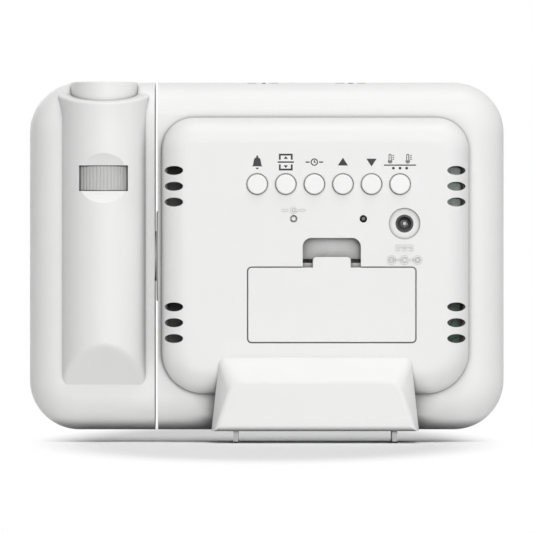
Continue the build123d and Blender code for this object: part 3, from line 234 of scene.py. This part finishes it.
CASE_WHITE = (0.84, 0.84, 0.835)
# The shell, keys, holder and focus ring get painted shade in their creases, the shell and holder in their
# hollows.
finishes = {
    "white_shell": moulded("white_shell", CASE_WHITE, rough=0.5, crease_shade_mm=1.4, crease_shade_tone=0.3,
                           hollow_shade_mm=11.0, hollow_shade_tone=0.2),
    "white_key": moulded("white_key", CASE_WHITE, rough=0.35, crease_shade_mm=0.6),
    "white_holder": moulded("white_holder", (0.74, 0.74, 0.73), rough=0.6, crease_shade_mm=1.0, hollow_shade_mm=8.0,
                            hollow_shade_tone=0.2),
    "white_bearing": moulded("white_bearing", (0.78, 0.78, 0.76), rough=0.4),
    "grey_wheel": moulded("grey_wheel", (0.56, 0.56, 0.555), rough=0.5, crease_shade_mm=0.8, crease_shade_tone=0.08),
    # A darker metal than the contacts', so the pin sunk in the socket reads dim.
    "dim_pin": moulded("dim_pin", (0.30, 0.30, 0.29), rough=0.5, grain_mm=0.2, cloudy=0.1,
                        Metallic=1.0),
    "black_plastic": moulded("black_plastic", (0.02, 0.02, 0.022), rough=0.45, cloudy=0.2),
    "sensor_resin": moulded("sensor_resin", (0.012, 0.012, 0.014), rough=0.15, depth_mm=0, cloudy=0.1),
    "dark_rubber": moulded("dark_rubber", (0.03, 0.03, 0.03), rough=0.85, grain_mm=0.6, depth_mm=0.03,
                           cloudy=0.3),
    "steel_screw": moulded("steel_screw", (0.55, 0.55, 0.56), rough=0.32, grain_mm=0.2, cloudy=0.1,
                           Metallic=1.0),
    "contact_metal": moulded("contact_metal", (0.72, 0.72, 0.70), rough=0.18, grain_mm=0.2, cloudy=0.06,
                             Metallic=1.0),
    "lcd_glass": moulded("lcd_glass", (0.010, 0.011, 0.014), rough=0.12, depth_mm=0, cloudy=0.15,
                         Coat_Weight=0.6),
    "black_ink": moulded("black_ink", (0.015, 0.015, 0.016), rough=0.55, grain_mm=0.15, depth_mm=0.002,
                         cloudy=0.2),
}
print(len(finishes), "opaque finishes")

# %% [markdown]
# ## Glass, lenses and lamp resin
# The display window is a smoked acrylic sheet and the lenses are clear, while the lamp and the light
# guide are milky. They keep a plain transmission, and the shared cloud is the haze that hands leave.


# %% Clear finishes
HAZE = 1.6                  # roughness of a handled place, as a multiple of a clean one


def clear(name, colour, rough, index, transmission=1.0):
    """A clear or milky finish whose polish wanders with the shared cloud."""
    material, tree, shader = new_finish(name, Base_Color=(*colour, 1), IOR=index,
                                        Transmission_Weight=transmission)
    surface = place(tree, grain, Roughness_low=rough, Roughness_high=rough * HAZE)
    feed(tree, surface["Roughness"], shader["Roughness"])
    return material


finishes["window_glass"] = clear("window_glass", (0.42, 0.43, 0.45), rough=0.02, index=1.49)
finishes["lens_glass"] = clear("lens_glass", (0.96, 0.98, 0.99), rough=0.01, index=1.52)
finishes["clear_guide"] = clear("clear_guide", (0.92, 0.94, 0.95), rough=0.25, index=1.49,
                                transmission=0.8)
finishes["lamp_resin"] = clear("lamp_resin", (0.95, 0.93, 0.86), rough=0.2, index=1.5, transmission=0.6)
print(len(finishes), "finishes with the clear ones")

# %% [markdown]
# ## Circuit boards
# A board is deep green where its lacquer lies on bare laminate and lighter where it runs over copper.
# Voronoi cells with their borders cut out look like poured copper with isolation gaps between areas.

# %% The circuit board finish
COPPER_PER_METRE = 260.0
GAP_WIDTH = 0.06            # in cell sizes
GAP_EDGE = 1.3              # where the copper has its full height, in gap widths
COPPER_RISE = 0.03 * MM
LAMINATE = (0.008, 0.07, 0.03)
OVER_COPPER = (0.02, 0.16, 0.07)

board, board_tree, board_shader = new_finish("circuit_board", Coat_Weight=0.3)
border = put(board_tree, "TexVoronoi", {"feature": "DISTANCE_TO_EDGE"},
             Vector=put(board_tree, "TexCoord")["Object"], Scale=COPPER_PER_METRE, Randomness=0.6)
copper = put(board_tree, "MapRange", Value=border["Distance"], From_Min=GAP_WIDTH,
             From_Max=GAP_WIDTH * GAP_EDGE)["Result"]
feed(board_tree, blended(board_tree, copper, LAMINATE, OVER_COPPER), board_shader["Base Color"])
feed(board_tree, place(board_tree, grain, Roughness_low=0.25, Roughness_high=0.4)["Roughness"],
     board_shader["Roughness"])
feed(board_tree, put(board_tree, "Bump", Strength=1.0, Distance=COPPER_RISE, Height=copper)["Normal"],
     board_shader["Normal"])
finishes["circuit_board"] = board
print("copper areas are about", round(1 / COPPER_PER_METRE / MM, 1), "mm wide")

# %% [markdown]
# ## Battery cells
# Each cell wears a dark printed jacket with a pale band at its positive end, and its nub is bare. The
# two cells lie head to tail, so each jacket measures its bands from its own cell's nub.


# %% The cell jackets
BAND_LENGTH = 11 * MM
NUB_LENGTH = 1.0 * MM
EDGE_BLUR = 0.1 * MM
BARE_STEEL = (0.70, 0.70, 0.68)
PALE_BAND = (0.62, 0.62, 0.60)
DARK_JACKET = (0.045, 0.05, 0.06)


def cell_jacket(node, nub_side):
    """A jacket along X. nub_side is 1 where the nub is at the high end of the cell and -1 at the low."""
    low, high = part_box(node)
    tip = high.x if nub_side > 0 else low.x
    material, tree, shader = new_finish(node + "_jacket", Coat_Weight=0.5)
    along = put(tree, "SeparateXYZ", Vector=put(tree, "TexCoord")["Object"])["X"]

    def past(length):
        """0 nearer to the nub's tip than a length and 1 further off."""
        edge = tip - nub_side * length
        return put(tree, "MapRange", Value=along, From_Min=edge,
                   From_Max=edge - nub_side * EDGE_BLUR)["Result"]

    printed = blended(tree, past(BAND_LENGTH), PALE_BAND, DARK_JACKET)
    feed(tree, blended(tree, past(NUB_LENGTH), BARE_STEEL, printed), shader["Base Color"])
    feed(tree, place(tree, grain, Roughness_low=0.2, Roughness_high=0.32)["Roughness"], shader["Roughness"])
    return material


cell_jackets = {"battery_cell_lower": cell_jacket("battery_cell_lower", -1),
                "battery_cell_upper": cell_jacket("battery_cell_upper", 1)}
print("jackets for", ", ".join(cell_jackets))

# %% [markdown]
# ## Dressing the solids
# The record names a material slot for each node, so the finishes are handed out by that slot. The
# cells are an exception, since each has a jacket of its own, and so is the socket's pin, whose metal
# is duller than the contacts'.

# %% Hand out the finishes
own_finishes = {**cell_jackets, "dc_jack_pin": finishes["dim_pin"]}
for subpart in frame["record"]["subparts"]:
    node = subpart["node"]
    finish = own_finishes.get(node, finishes.get(subpart["material_slot"]))
    for material_slot in frame["nodes"][node].material_slots:
        material_slot.material = finish

# %% [markdown]
# ## Strokes and shapes
# A printed or raised mark is made of strokes, each a ribbon of one width along a path, and of filled
# shapes, each a flat outline. Both are drawn on a flat sheet first, with s to the reader's right and t
# up, and get a small thickness. A surface function then lays the sheet onto the clock.


# %% Ribbons and plates
SHARPEST_BEND = 0.5         # the least cosine of half a turn that an offset is stretched for


def arc(centre, radius, start, end, steps=24):
    """Points on a circle: the centre plus radius times (cosine, sine) of angles from start to end."""
    angles = np.radians(np.linspace(start, end, steps))
    return np.asarray(centre) + radius * np.stack([np.cos(angles), np.sin(angles)], axis=1)


def line(*corners, step=0.4):
    """The straight runs between corners, cut into steps short enough to follow a curved surface."""
    corners = np.asarray(corners, float)
    runs = []
    for start, end in zip(corners[:-1], corners[1:]):
        count = max(int(np.ceil(np.linalg.norm(end - start) / step)), 1)
        runs.append(start + np.linspace(0, 1, count + 1)[:-1, None] * (end - start))
    return np.vstack([*runs, corners[-1:]])


def ribbon(path, width, closed=False):
    """A stroke: each path point offset by half the width along the path's normal, to both sides.
    At a bend the offset is longer by one over the cosine of half the turn, so the width holds."""
    path = np.asarray(path, float)
    if closed and np.allclose(path[0], path[-1]):
        path = path[:-1]
    before = np.roll(path, 1, axis=0)
    after = np.roll(path, -1, axis=0)
    if not closed:
        before[0] = 2 * path[0] - path[1]
        after[-1] = 2 * path[-1] - path[-2]
    into = (path - before) / np.linalg.norm(path - before, axis=1)[:, None]
    out = (after - path) / np.linalg.norm(after - path, axis=1)[:, None]
    along = (into + out) / np.linalg.norm(into + out, axis=1)[:, None]
    normal = np.stack([-along[:, 1], along[:, 0]], axis=1)
    stretch = 1 / np.clip(np.sum(along * into, axis=1), SHARPEST_BEND, 1)
    offset = normal * (width / 2 * stretch)[:, None]
    count = len(path)
    first = np.arange(count if closed else count - 1)
    following = (first + 1) % count
    quads = np.stack([first, following, following + count, first + count], axis=1)
    return np.vstack([path + offset, path - offset]), quads.tolist()


def plate(outline):
    """A filled shape: one face round its outline."""
    outline = np.asarray(outline, float)
    return outline, [list(range(len(outline)))]


def thickened(shapes, bottom, top):
    """Joins flat shapes into one closed mesh in (s, t, lift): each face twice, at the bottom and the
    top lift, with a wall along every edge that only one face uses."""
    points, faces, base = [], [], 0
    for flat, flat_faces in shapes:
        count = len(flat)
        points.append(np.column_stack([flat, np.full(count, bottom)]))
        points.append(np.column_stack([flat, np.full(count, top)]))
        edges = [(a, b) for face in flat_faces for a, b in zip(face, face[1:] + face[:1])]
        rims = [(a, b) for a, b in edges if (b, a) not in edges]
        faces += [[base + i for i in reversed(face)] for face in flat_faces]
        faces += [[base + count + i for i in face] for face in flat_faces]
        faces += [[base + a, base + b, base + count + b, base + count + a] for a, b in rims]
        base += 2 * count
    return np.vstack(points), faces


def mark(name, shapes, surface, bottom, top, finish, slot, body="case"):
    """One piece from flat shapes in mm, laid onto a surface, dressed and fixed to its body."""
    sheet, faces = thickened(shapes, bottom, top)
    mesh = bpy.data.meshes.new(name)
    mesh.from_pydata((surface(*sheet.T) * MM).tolist(), [], faces)
    work = bmesh.new()
    work.from_mesh(mesh)
    bmesh.ops.recalc_face_normals(work, faces=work.faces)
    work.to_mesh(mesh)
    work.free()
    mesh.materials.append(finish)
    piece = bpy.data.objects.new(name, mesh)
    bpy.context.scene.collection.objects.link(piece)
    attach(piece, body)
    print(name, "has", len(mesh.polygons), "faces")


# %% [markdown]
# ## Where the marks lie
# The rear housing's face is flat, and whoever reads it looks along minus Y, so s runs towards minus X.
# The top face curves down to the rear, so a print there follows the quarter round of the case.

# %% Surfaces that marks lie on
rear_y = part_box("battery_door")[1].y / MM
top_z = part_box("wing_front")[1].z / MM
SLAB_Y = 3.0                # the slab's rear face, where its rear round ends
BACK_ROUND = 13.0           # that round's radius


def on_rear(x, z):
    """A surface on the rear housing's flat face, with its middle at x and z."""
    return lambda s, t, lift: np.column_stack([x - s, np.full_like(s, rear_y) + lift, z + t])


def on_top(x, y):
    """A surface on the top, read from the front: flat, and past the round's start a quarter circle
    whose height falls by the round's radius less the circle's rise."""
    def lay(s, t, lift):
        depth = y + t
        past = np.clip(depth - (SLAB_Y - BACK_ROUND), 0, BACK_ROUND)
        drop = BACK_ROUND - np.sqrt(BACK_ROUND**2 - past**2)
        return np.column_stack([x + s, depth, top_z - drop + lift])
    return lay


print("marks lie at the rear on Y", round(rear_y, 2), "and on top at Z", round(top_z, 2))

# %% [markdown]
# ## Icons over the keys
# Each key has a small black print over it that says what it does. They are plain signs: a bell for the
# alarm, a turned picture, a dial between two bars for setting, up and down arrows, and two
# thermometers over a bar for the unit.


# %% Draw the icons
INK = 0.42                  # stroke width before an icon is sized
FINE_INK = INK * 0.8
HAND_INK = INK * 0.9
BAR_INK = INK * 1.2


def sized(shapes, factor, shift=(0, 0)):
    """Shapes made larger by a factor and moved by a shift."""
    return [(points * factor + np.asarray(shift), faces) for points, faces in shapes]


def bell():
    """A dome on two flaring sides and a rim, with a clapper below and a knob on top."""
    side = arc((0.0, 0.35), 0.85, 0, 180)
    body = np.vstack([side, [(-1.05, -0.75), (-1.3, -1.05), (1.3, -1.05), (1.05, -0.75)]])
    return [plate(body), plate(arc((0, -1.4), 0.36, 180, 360, 12)), plate(arc((0, 1.4), 0.26, 0, 350, 12))]


def turned_picture():
    """Two frames, one upright and one upside down, with a bar between the rows."""
    return [ribbon(line((-1.4, 0.55), (-1.4, 1.75), (1.4, 1.75), (1.4, 0.55)), INK),
            plate([(-0.5, 0.75), (0.5, 0.75), (0, 1.4)]),
            ribbon(line((-1.9, 0), (1.9, 0)), FINE_INK),
            ribbon(line((-1.4, -0.55), (-1.4, -1.75), (1.4, -1.75), (1.4, -0.55)), INK),
            plate([(-0.5, -0.75), (0, -1.4), (0.5, -0.75)])]


def dial():
    """A round face with two hands."""
    return [ribbon(arc((0, 0), 1.25, 0, 360, 33), INK, closed=True),
            ribbon(line((0, 0.85), (0, -0.1), (0.62, -0.1)), HAND_INK)]


def arrow(direction):
    """A filled triangle that points up (1) or down (-1)."""
    return [plate([(-1.5, -1.0 * direction), (1.5, -1.0 * direction), (0, 1.3 * direction)][::direction])]


def thermometer():
    """An open tube over a filled bulb, with three marks beside it."""
    tube = np.vstack([arc((0, 1.45), 0.45, 0, 180, 13), arc((0, -1.1), 0.75, 128, 412, 25)])
    marks = [ribbon(line((1.0, height), (1.7, height)), FINE_INK) for height in (1.4, 0.6, -0.2)]
    return [ribbon(tube, FINE_INK, closed=True), plate(arc((0, -1.1), 0.42, 0, 345, 16))] + marks


def dial_between_bars():
    """The dial with a short bar at each side."""
    return dial() + [ribbon(line((side * 1.9, 0), (side * 3.5, 0)), BAR_INK) for side in (-1, 1)]


def two_scales():
    """Two thermometers over a bar, with three dots under it."""
    scales = [shape for side in (-1, 1) for shape in sized(thermometer(), 0.85, (side * 3.2 - 0.4, 1.2))]
    dots = [plate(arc((middle, -2.2), 0.5, 0, 345, 20)) for middle in (-2.4, 0, 2.4)]
    return scales + [ribbon(line((-5.8, -1.1), (5.8, -1.1)), INK)] + dots


key_icons = {"alarm_key": sized(bell(), 1.6), "flip_key": sized(turned_picture(), 1.7),
             "mode_key": dial_between_bars(), "up_key": sized(arrow(1), 1.35),
             "down_key": sized(arrow(-1), 1.35), "unit_key": sized(two_scales(), 1.1)}
ICON_RISE = 8.8             # icon's middle above the key's
INK_DEPTH = (-0.02, 0.03)   # a print's lower and upper lift from the surface, in mm
for node, shapes in key_icons.items():
    low, high = (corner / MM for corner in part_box(node))
    over_key = on_rear((low.x + high.x) / 2, (low.z + high.z) / 2 + ICON_RISE)
    mark(node.replace("key", "icon"), shapes, over_key, *INK_DEPTH, finishes["black_ink"], "black_plastic")

# %% [markdown]
# ## Raised marks
# Over the reset hole and under the power socket the mould has left raised signs in the same white
# plastic: a turning arrow between two bars, the bar over dashes that means direct current, and the
# plug's polarity, with its pin positive. They stand only about a quarter of a millimetre proud, so they
# show by their shading alone.

# %% Draw the raised marks
RAISED = 0.42               # stroke width
RAISED_BAR = RAISED * 1.3
RELIEF = (-0.05, 0.28)      # the lower and upper lift of a raised mark
RESET_MARK_RISE = 3.4       # above the middle of the reset pin
DIRECT_CURRENT_DROP = 9.7   # below the middle of the socket
POLARITY_DROP = 14.5
RING_AT = 5.2               # how far the polarity sign's outer rings are from its middle
RING_RADIUS = 1.45
SIGN_HALF = 0.75            # half the length of the plus and the minus in those rings


def turning_arrow():
    """Most of a circle, ending in an arrowhead, between two bars."""
    bars = [ribbon(line((side * 2.3, 0), (side * 4.7, 0)), RAISED_BAR) for side in (-1, 1)]
    return [ribbon(arc((0, 0), 1.0, 60, 345), RAISED),
            plate([(0.35, -0.42), (1.6, -0.42), (0.98, 0.62)])] + bars


def direct_current():
    """A whole bar over three dashes."""
    dashes = [ribbon(line((middle - 0.8, -0.75), (middle + 0.8, -0.75)), RAISED_BAR)
              for middle in (-2.7, 0, 2.7)]
    return [ribbon(line((-3.5, 0.75), (3.5, 0.75)), RAISED_BAR)] + dashes


def polarity():
    """A ring with a minus, a plug seen end on as an open ring round a dot, and a ring with a plus."""
    shapes = [ribbon(arc((side * RING_AT, 0), RING_RADIUS, 0, 360, 33), RAISED, closed=True)
              for side in (-1, 1)]
    shapes += [ribbon(line((side * RING_AT - SIGN_HALF, 0), (side * RING_AT + SIGN_HALF, 0)), RAISED)
               for side in (-1, 1)]
    shapes += [ribbon(line((RING_AT, 0.18 * end), (RING_AT, SIGN_HALF * end)), RAISED) for end in (-1, 1)]
    shapes += [ribbon(line((-3.75, 0), (-1.5, 0)), RAISED), ribbon(line((0.5, 0), (3.75, 0)), RAISED)]
    return shapes + [ribbon(arc((0, 0), 1.5, 40, 320), RAISED), plate(arc((0, 0), 0.55, 0, 350, 20))]


reset_low, reset_high = (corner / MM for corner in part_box("reset_pin"))
jack_low, jack_high = (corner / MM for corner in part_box("dc_jack"))
jack_x = (jack_low.x + jack_high.x) / 2
jack_z = (jack_low.z + jack_high.z) / 2
raised_marks = {
    "reset_mark": (turning_arrow(), (reset_low.x + reset_high.x) / 2,
                   (reset_low.z + reset_high.z) / 2 + RESET_MARK_RISE),
    "direct_current_mark": (direct_current(), jack_x, jack_z - DIRECT_CURRENT_DROP),
    "polarity_mark": (polarity(), jack_x, jack_z - POLARITY_DROP),
}
for name, (shapes, x, z) in raised_marks.items():
    mark(name, shapes, on_rear(x, z), *RELIEF, finishes["white_shell"], "white_shell")

# %% [markdown]
# ## Prints on the top
# Behind the snooze bar, where the top begins to curve down, small prints say what a short and a long
# press do: a crescent for dozing on and a sun for the display light, each between two bars.

# %% Draw the prints on the top
PRINT_Y = -7.4              # middle of the prints' depth
DOZE_X = 1.5                # and of each print's width
LIGHT_X = -33.7
BAR_LENGTH = 3.6
BAR_START = 2.6             # from the middle of a print
BAR_WIDTH = 0.5
RAY_WIDTH = 0.22


def crescent():
    """The outline of one disc with a second, shifted disc cut away."""
    outer = arc((0, 0), 1.1, 55, 305)
    inner = arc((0.62, 0), 0.9, 270, 90)
    return plate(np.vstack([outer, inner]))


def sun():
    """A disc in the middle, for the ring of rays that sun_rays draws."""
    return plate(arc((0, 0), 0.5, 0, 345, 20))


def sun_rays():
    """Eight short strokes that point away from the middle."""
    directions = [np.array([np.cos(angle), np.sin(angle)]) for angle in np.radians(np.arange(0, 360, 45))]
    return [ribbon(line(0.75 * way, 1.15 * way), RAY_WIDTH) for way in directions]


bars = [ribbon(line((side * BAR_START, 0), (side * (BAR_START + BAR_LENGTH), 0)), BAR_WIDTH)
        for side in (-1, 1)]
mark("doze_print", [crescent(), *bars], on_top(DOZE_X, PRINT_Y), *INK_DEPTH, finishes["black_ink"],
     "black_plastic")
mark("light_print", [sun(), *sun_rays(), *bars], on_top(LIGHT_X, PRINT_Y), *INK_DEPTH,
     finishes["black_ink"], "black_plastic")

# %% [markdown]
# ## Display
# The panel behind the window is a negative liquid crystal: black, with segments that let the white
# backlight through. The segments that are off still show faintly, so both kinds get a mesh. Each
# segment is a bar with pointed ends, and a digit leans a few degrees to the right.

# %% Segments and digits
SEGMENTS_ON = {"0": "abcdef", "1": "bc", "2": "abged", "3": "abgcd", "4": "fgbc", "5": "afgcd",
               "6": "afgcde", "7": "abc", "8": "abcdefg", "9": "abcdfg"}
LEAN = math.tan(math.radians(6))
SEGMENT_GAP = 0.25          # in strokes
COLON_ROOM = 0.55           # a colon's share of a digit's room
DOT_RISE = 0.2              # a colon's dots above and below the middle, in digit heights
DOT_RADIUS = 0.6            # in strokes


def bar(middle, length, width, upright):
    """A bar round its middle whose ends come to a point of a right angle."""
    half, side = length / 2, width / 2
    along = np.array([-half, side - half, half - side, half, half - side, side - half])
    across = np.array([0, side, side, 0, -side, -side])
    points = np.column_stack([-across, along] if upright else [along, across])
    points += np.asarray(middle)
    points[:, 0] += LEAN * points[:, 1]
    return plate(points)


def digit(character, middle, width, height, stroke):
    """The seven bars of one digit, as (lit, unlit). Each bar ends a gap short of the next."""
    s, t = middle
    gap = stroke * SEGMENT_GAP
    across, upright = width - gap, height / 2 - gap
    places = {"a": (0, height / 2, 0), "g": (0, 0, 0), "d": (0, -height / 2, 0),
              "f": (-width / 2, height / 4, 1), "b": (width / 2, height / 4, 1),
              "e": (-width / 2, -height / 4, 1), "c": (width / 2, -height / 4, 1)}
    bars = {key: bar((s + x, t + z), upright if stands else across, stroke, stands)
            for key, (x, z, stands) in places.items()}
    lit = [shape for key, shape in bars.items() if key in SEGMENTS_ON[character]]
    return lit, [shape for key, shape in bars.items() if key not in SEGMENTS_ON[character]]


def row(text, middle, width, height, stroke, pitch):
    """Digits side by side about the middle. A colon takes less room and is two dots."""
    steps = [pitch * (COLON_ROOM if character == ":" else 1) for character in text]
    start = middle[0] - sum(steps) / 2
    lit, unlit = [], []
    for character, step in zip(text, steps):
        at = (start + step / 2, middle[1])
        if character == ":":
            for side in (-1, 1):
                t = middle[1] + side * height * DOT_RISE
                lit.append(plate(arc((at[0] + LEAN * t, t), stroke * DOT_RADIUS, 0, 345, 20)))
        else:
            on, off = digit(character, at, width, height, stroke)
            lit += on
            unlit += off
        start += step
    return lit, unlit


# %% [markdown]
# ## What the display shows
# The time stands over a line, with the room's temperature and the alarm's time below it, and a small
# bell that says the alarm is set. The lit bars glow softly, and the glow wanders a little, as a lamp at
# one side of the light guide makes it do.

# %% Draw the display
GLOW = 0.9
GLOW_COLOURS = ((0.80, 0.86, 0.92), (0.95, 0.98, 1.0))
LIT_COLOURS = ((0.55, 0.58, 0.62), (0.65, 0.68, 0.72))
PANEL_LIFT = (-0.02, 0.04)  # the lower and upper lift of a segment
TALL_DIGITS = {"width": 17.5, "height": 38, "stroke": 4.0, "pitch": 23.0}
SMALL_DIGITS = {"width": 8.4, "height": 17, "stroke": 1.9, "pitch": 12.0}
RULE_WIDTH = 0.7            # stroke width of the line and of the degree sign
BELL_SIZE = 2.6
panel_low, panel_high = (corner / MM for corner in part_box("lcd_panel"))
panel_x = (panel_low.x + panel_high.x) / 2
panel_z = (panel_low.z + panel_high.z) / 2


def on_panel(s, t, lift):
    """The panel's front face: read along plus Y, so s runs towards plus X and a lift towards minus Y."""
    return np.column_stack([panel_x + s, panel_low.y - lift, panel_z + t])


lit_segment, lit_tree, lit_shader = new_finish("lit_segment", Roughness=0.4, Emission_Strength=GLOW)
lit_cloud = place(lit_tree, grain, Cloud_per_metre=20.0)["Cloud"]
feed(lit_tree, blended(lit_tree, lit_cloud, *GLOW_COLOURS), lit_shader["Emission Color"])
feed(lit_tree, blended(lit_tree, lit_cloud, *LIT_COLOURS), lit_shader["Base Color"])
finishes["lit_segment"] = lit_segment
finishes["unlit_segment"] = moulded("unlit_segment", (0.026, 0.028, 0.033), rough=0.2, depth_mm=0,
                                    cloudy=0.1)

shown = [row("10:08", (-5, 20), **TALL_DIGITS),
         row("23", (-36, -27), **SMALL_DIGITS),
         row("06:12", (24, -27), **SMALL_DIGITS)]
lit_shapes = [shape for lit, unlit in shown for shape in lit]
lit_shapes += [ribbon(line((-52, -9), (52, -9)), RULE_WIDTH),
               ribbon(arc((-23.5, -20.5), 1.4, 0, 360, 25), RULE_WIDTH, closed=True)]
lit_shapes += sized(bell(), BELL_SIZE, (-50, 36))
mark("display_segments_lit", lit_shapes, on_panel, *PANEL_LIFT, lit_segment, "clear_guide")
mark("display_segments_unlit", [shape for lit, unlit in shown for shape in unlit], on_panel, *PANEL_LIFT,
     finishes["unlit_segment"], "lcd_glass")

# %% [markdown]
# ## Floor
# The clock stands on a plain pale floor. Light bounces off it as off any pale floor, but the eye sees
# it as white: near the clock its shadow falls on a lighter colour, and further off it is plain white.

# %% Floor and its material
FLOOR_SIZE = 30.0
FLOOR_BOUNCE = 0.72         # what light that bounces sees
FLOOR_SEEN = 0.9            # what the eye sees near the clock
SHADOW_WIDTH = 0.065        # half axes of the oval, in metres, that the eye sees in its own colour
SHADOW_DEPTH = 0.24
WHITE_AT = 1.5              # where plain white begins, in half axes

floor_mesh = bpy.data.meshes.new("floor")
floor_mesh.from_pydata([(x * FLOOR_SIZE / 2, y * FLOOR_SIZE / 2, 0)
                        for x, y in ((-1, -1), (1, -1), (1, 1), (-1, 1))], [], [(0, 1, 2, 3)])
floor = bpy.data.objects.new("floor", floor_mesh)
bpy.context.scene.collection.objects.link(floor)


def seen(tree):
    """1 for rays from the eye, whether straight, off gloss or through glass, and 0 for others."""
    rays = put(tree, "LightPath")
    total = rays["Is Camera Ray"]
    for kind in ("Is Glossy Ray", "Is Transmission Ray"):
        total = put_in_order(tree, "Math", total, rays[kind], operation="MAXIMUM")[0]
    return total


floor_finish, floor_tree, floor_shader = new_finish("floor", Roughness=1.0, Specular_IOR_Level=0.0)
by_eye = seen(floor_tree)
feed(floor_tree, blended(floor_tree, by_eye, (FLOOR_BOUNCE,) * 3, (FLOOR_SEEN,) * 3),
     floor_shader["Base Color"])
in_axes = put_in_order(floor_tree, "VectorMath", put(floor_tree, "TexCoord")["Object"],
                       (1 / SHADOW_WIDTH, 1 / SHADOW_DEPTH, 0), operation="MULTIPLY")["Vector"]
reach = put_in_order(floor_tree, "VectorMath", in_axes, operation="LENGTH")["Value"]
far = put(floor_tree, "MapRange", {"interpolation_type": "SMOOTHSTEP"}, Value=reach, From_Min=1.0,
          From_Max=WHITE_AT)["Result"]
far_seen = put_in_order(floor_tree, "Math", far, by_eye, operation="MULTIPLY")[0]
white = put(floor_tree, "Emission", Color=(1, 1, 1, 1), Strength=1.0)["Emission"]
plain = floor_tree.nodes["Principled BSDF"].outputs["BSDF"]
feed(floor_tree, put_in_order(floor_tree, "MixShader", far_seen, plain, white)[0],
     floor_tree.nodes["Material Output"].inputs["Surface"])
floor_mesh.materials.append(floor_finish)
print("the floor is white from", round(WHITE_AT * SHADOW_DEPTH, 2), "m behind and before the clock")

# %% [markdown]
# ## Light
# One large soft lamp stands low beside the eye, to its right, a weaker one hangs over the clock, and a
# third lights the display side. The sky fills in. Together they light a white wall to about its own
# written colour.

# %% World and lamps
SKY = 0.3
CLOCK_MIDDLE = (0, 0, 70 * MM)

world = bpy.data.worlds.new("studio")
world.use_nodes = True
bpy.context.scene.world = world
sky = world.node_tree
to_eye = seen(sky)
sky_strength = put(sky, "MapRange", Value=to_eye, To_Min=SKY, To_Max=1.0)["Result"]
feed(sky, (1, 1, 1, 1), sky.nodes["Background"].inputs["Color"])
feed(sky, sky_strength, sky.nodes["Background"].inputs["Strength"])


def lamp(name, position, size, power):
    """A square soft lamp at a position, turned to face the middle of the clock."""
    light = bpy.data.lights.new(name, "AREA")
    light.size = size
    light.energy = power
    fixture = bpy.data.objects.new(name, light)
    bpy.context.scene.collection.objects.link(fixture)
    fixture.location = position
    aim = fixture.location - type(fixture.location)(CLOCK_MIDDLE)
    fixture.rotation_euler = aim.to_track_quat("Z", "Y").to_euler()


lamp("rear_lamp", (-0.35, 2.4, 0.6), size=1.0, power=27)
lamp("top_lamp", (-0.3, 0.5, 1.8), size=0.9, power=13)
lamp("front_lamp", (0.8, -1.4, 0.6), size=1.0, power=6)
print("sky", SKY, "and three lamps")
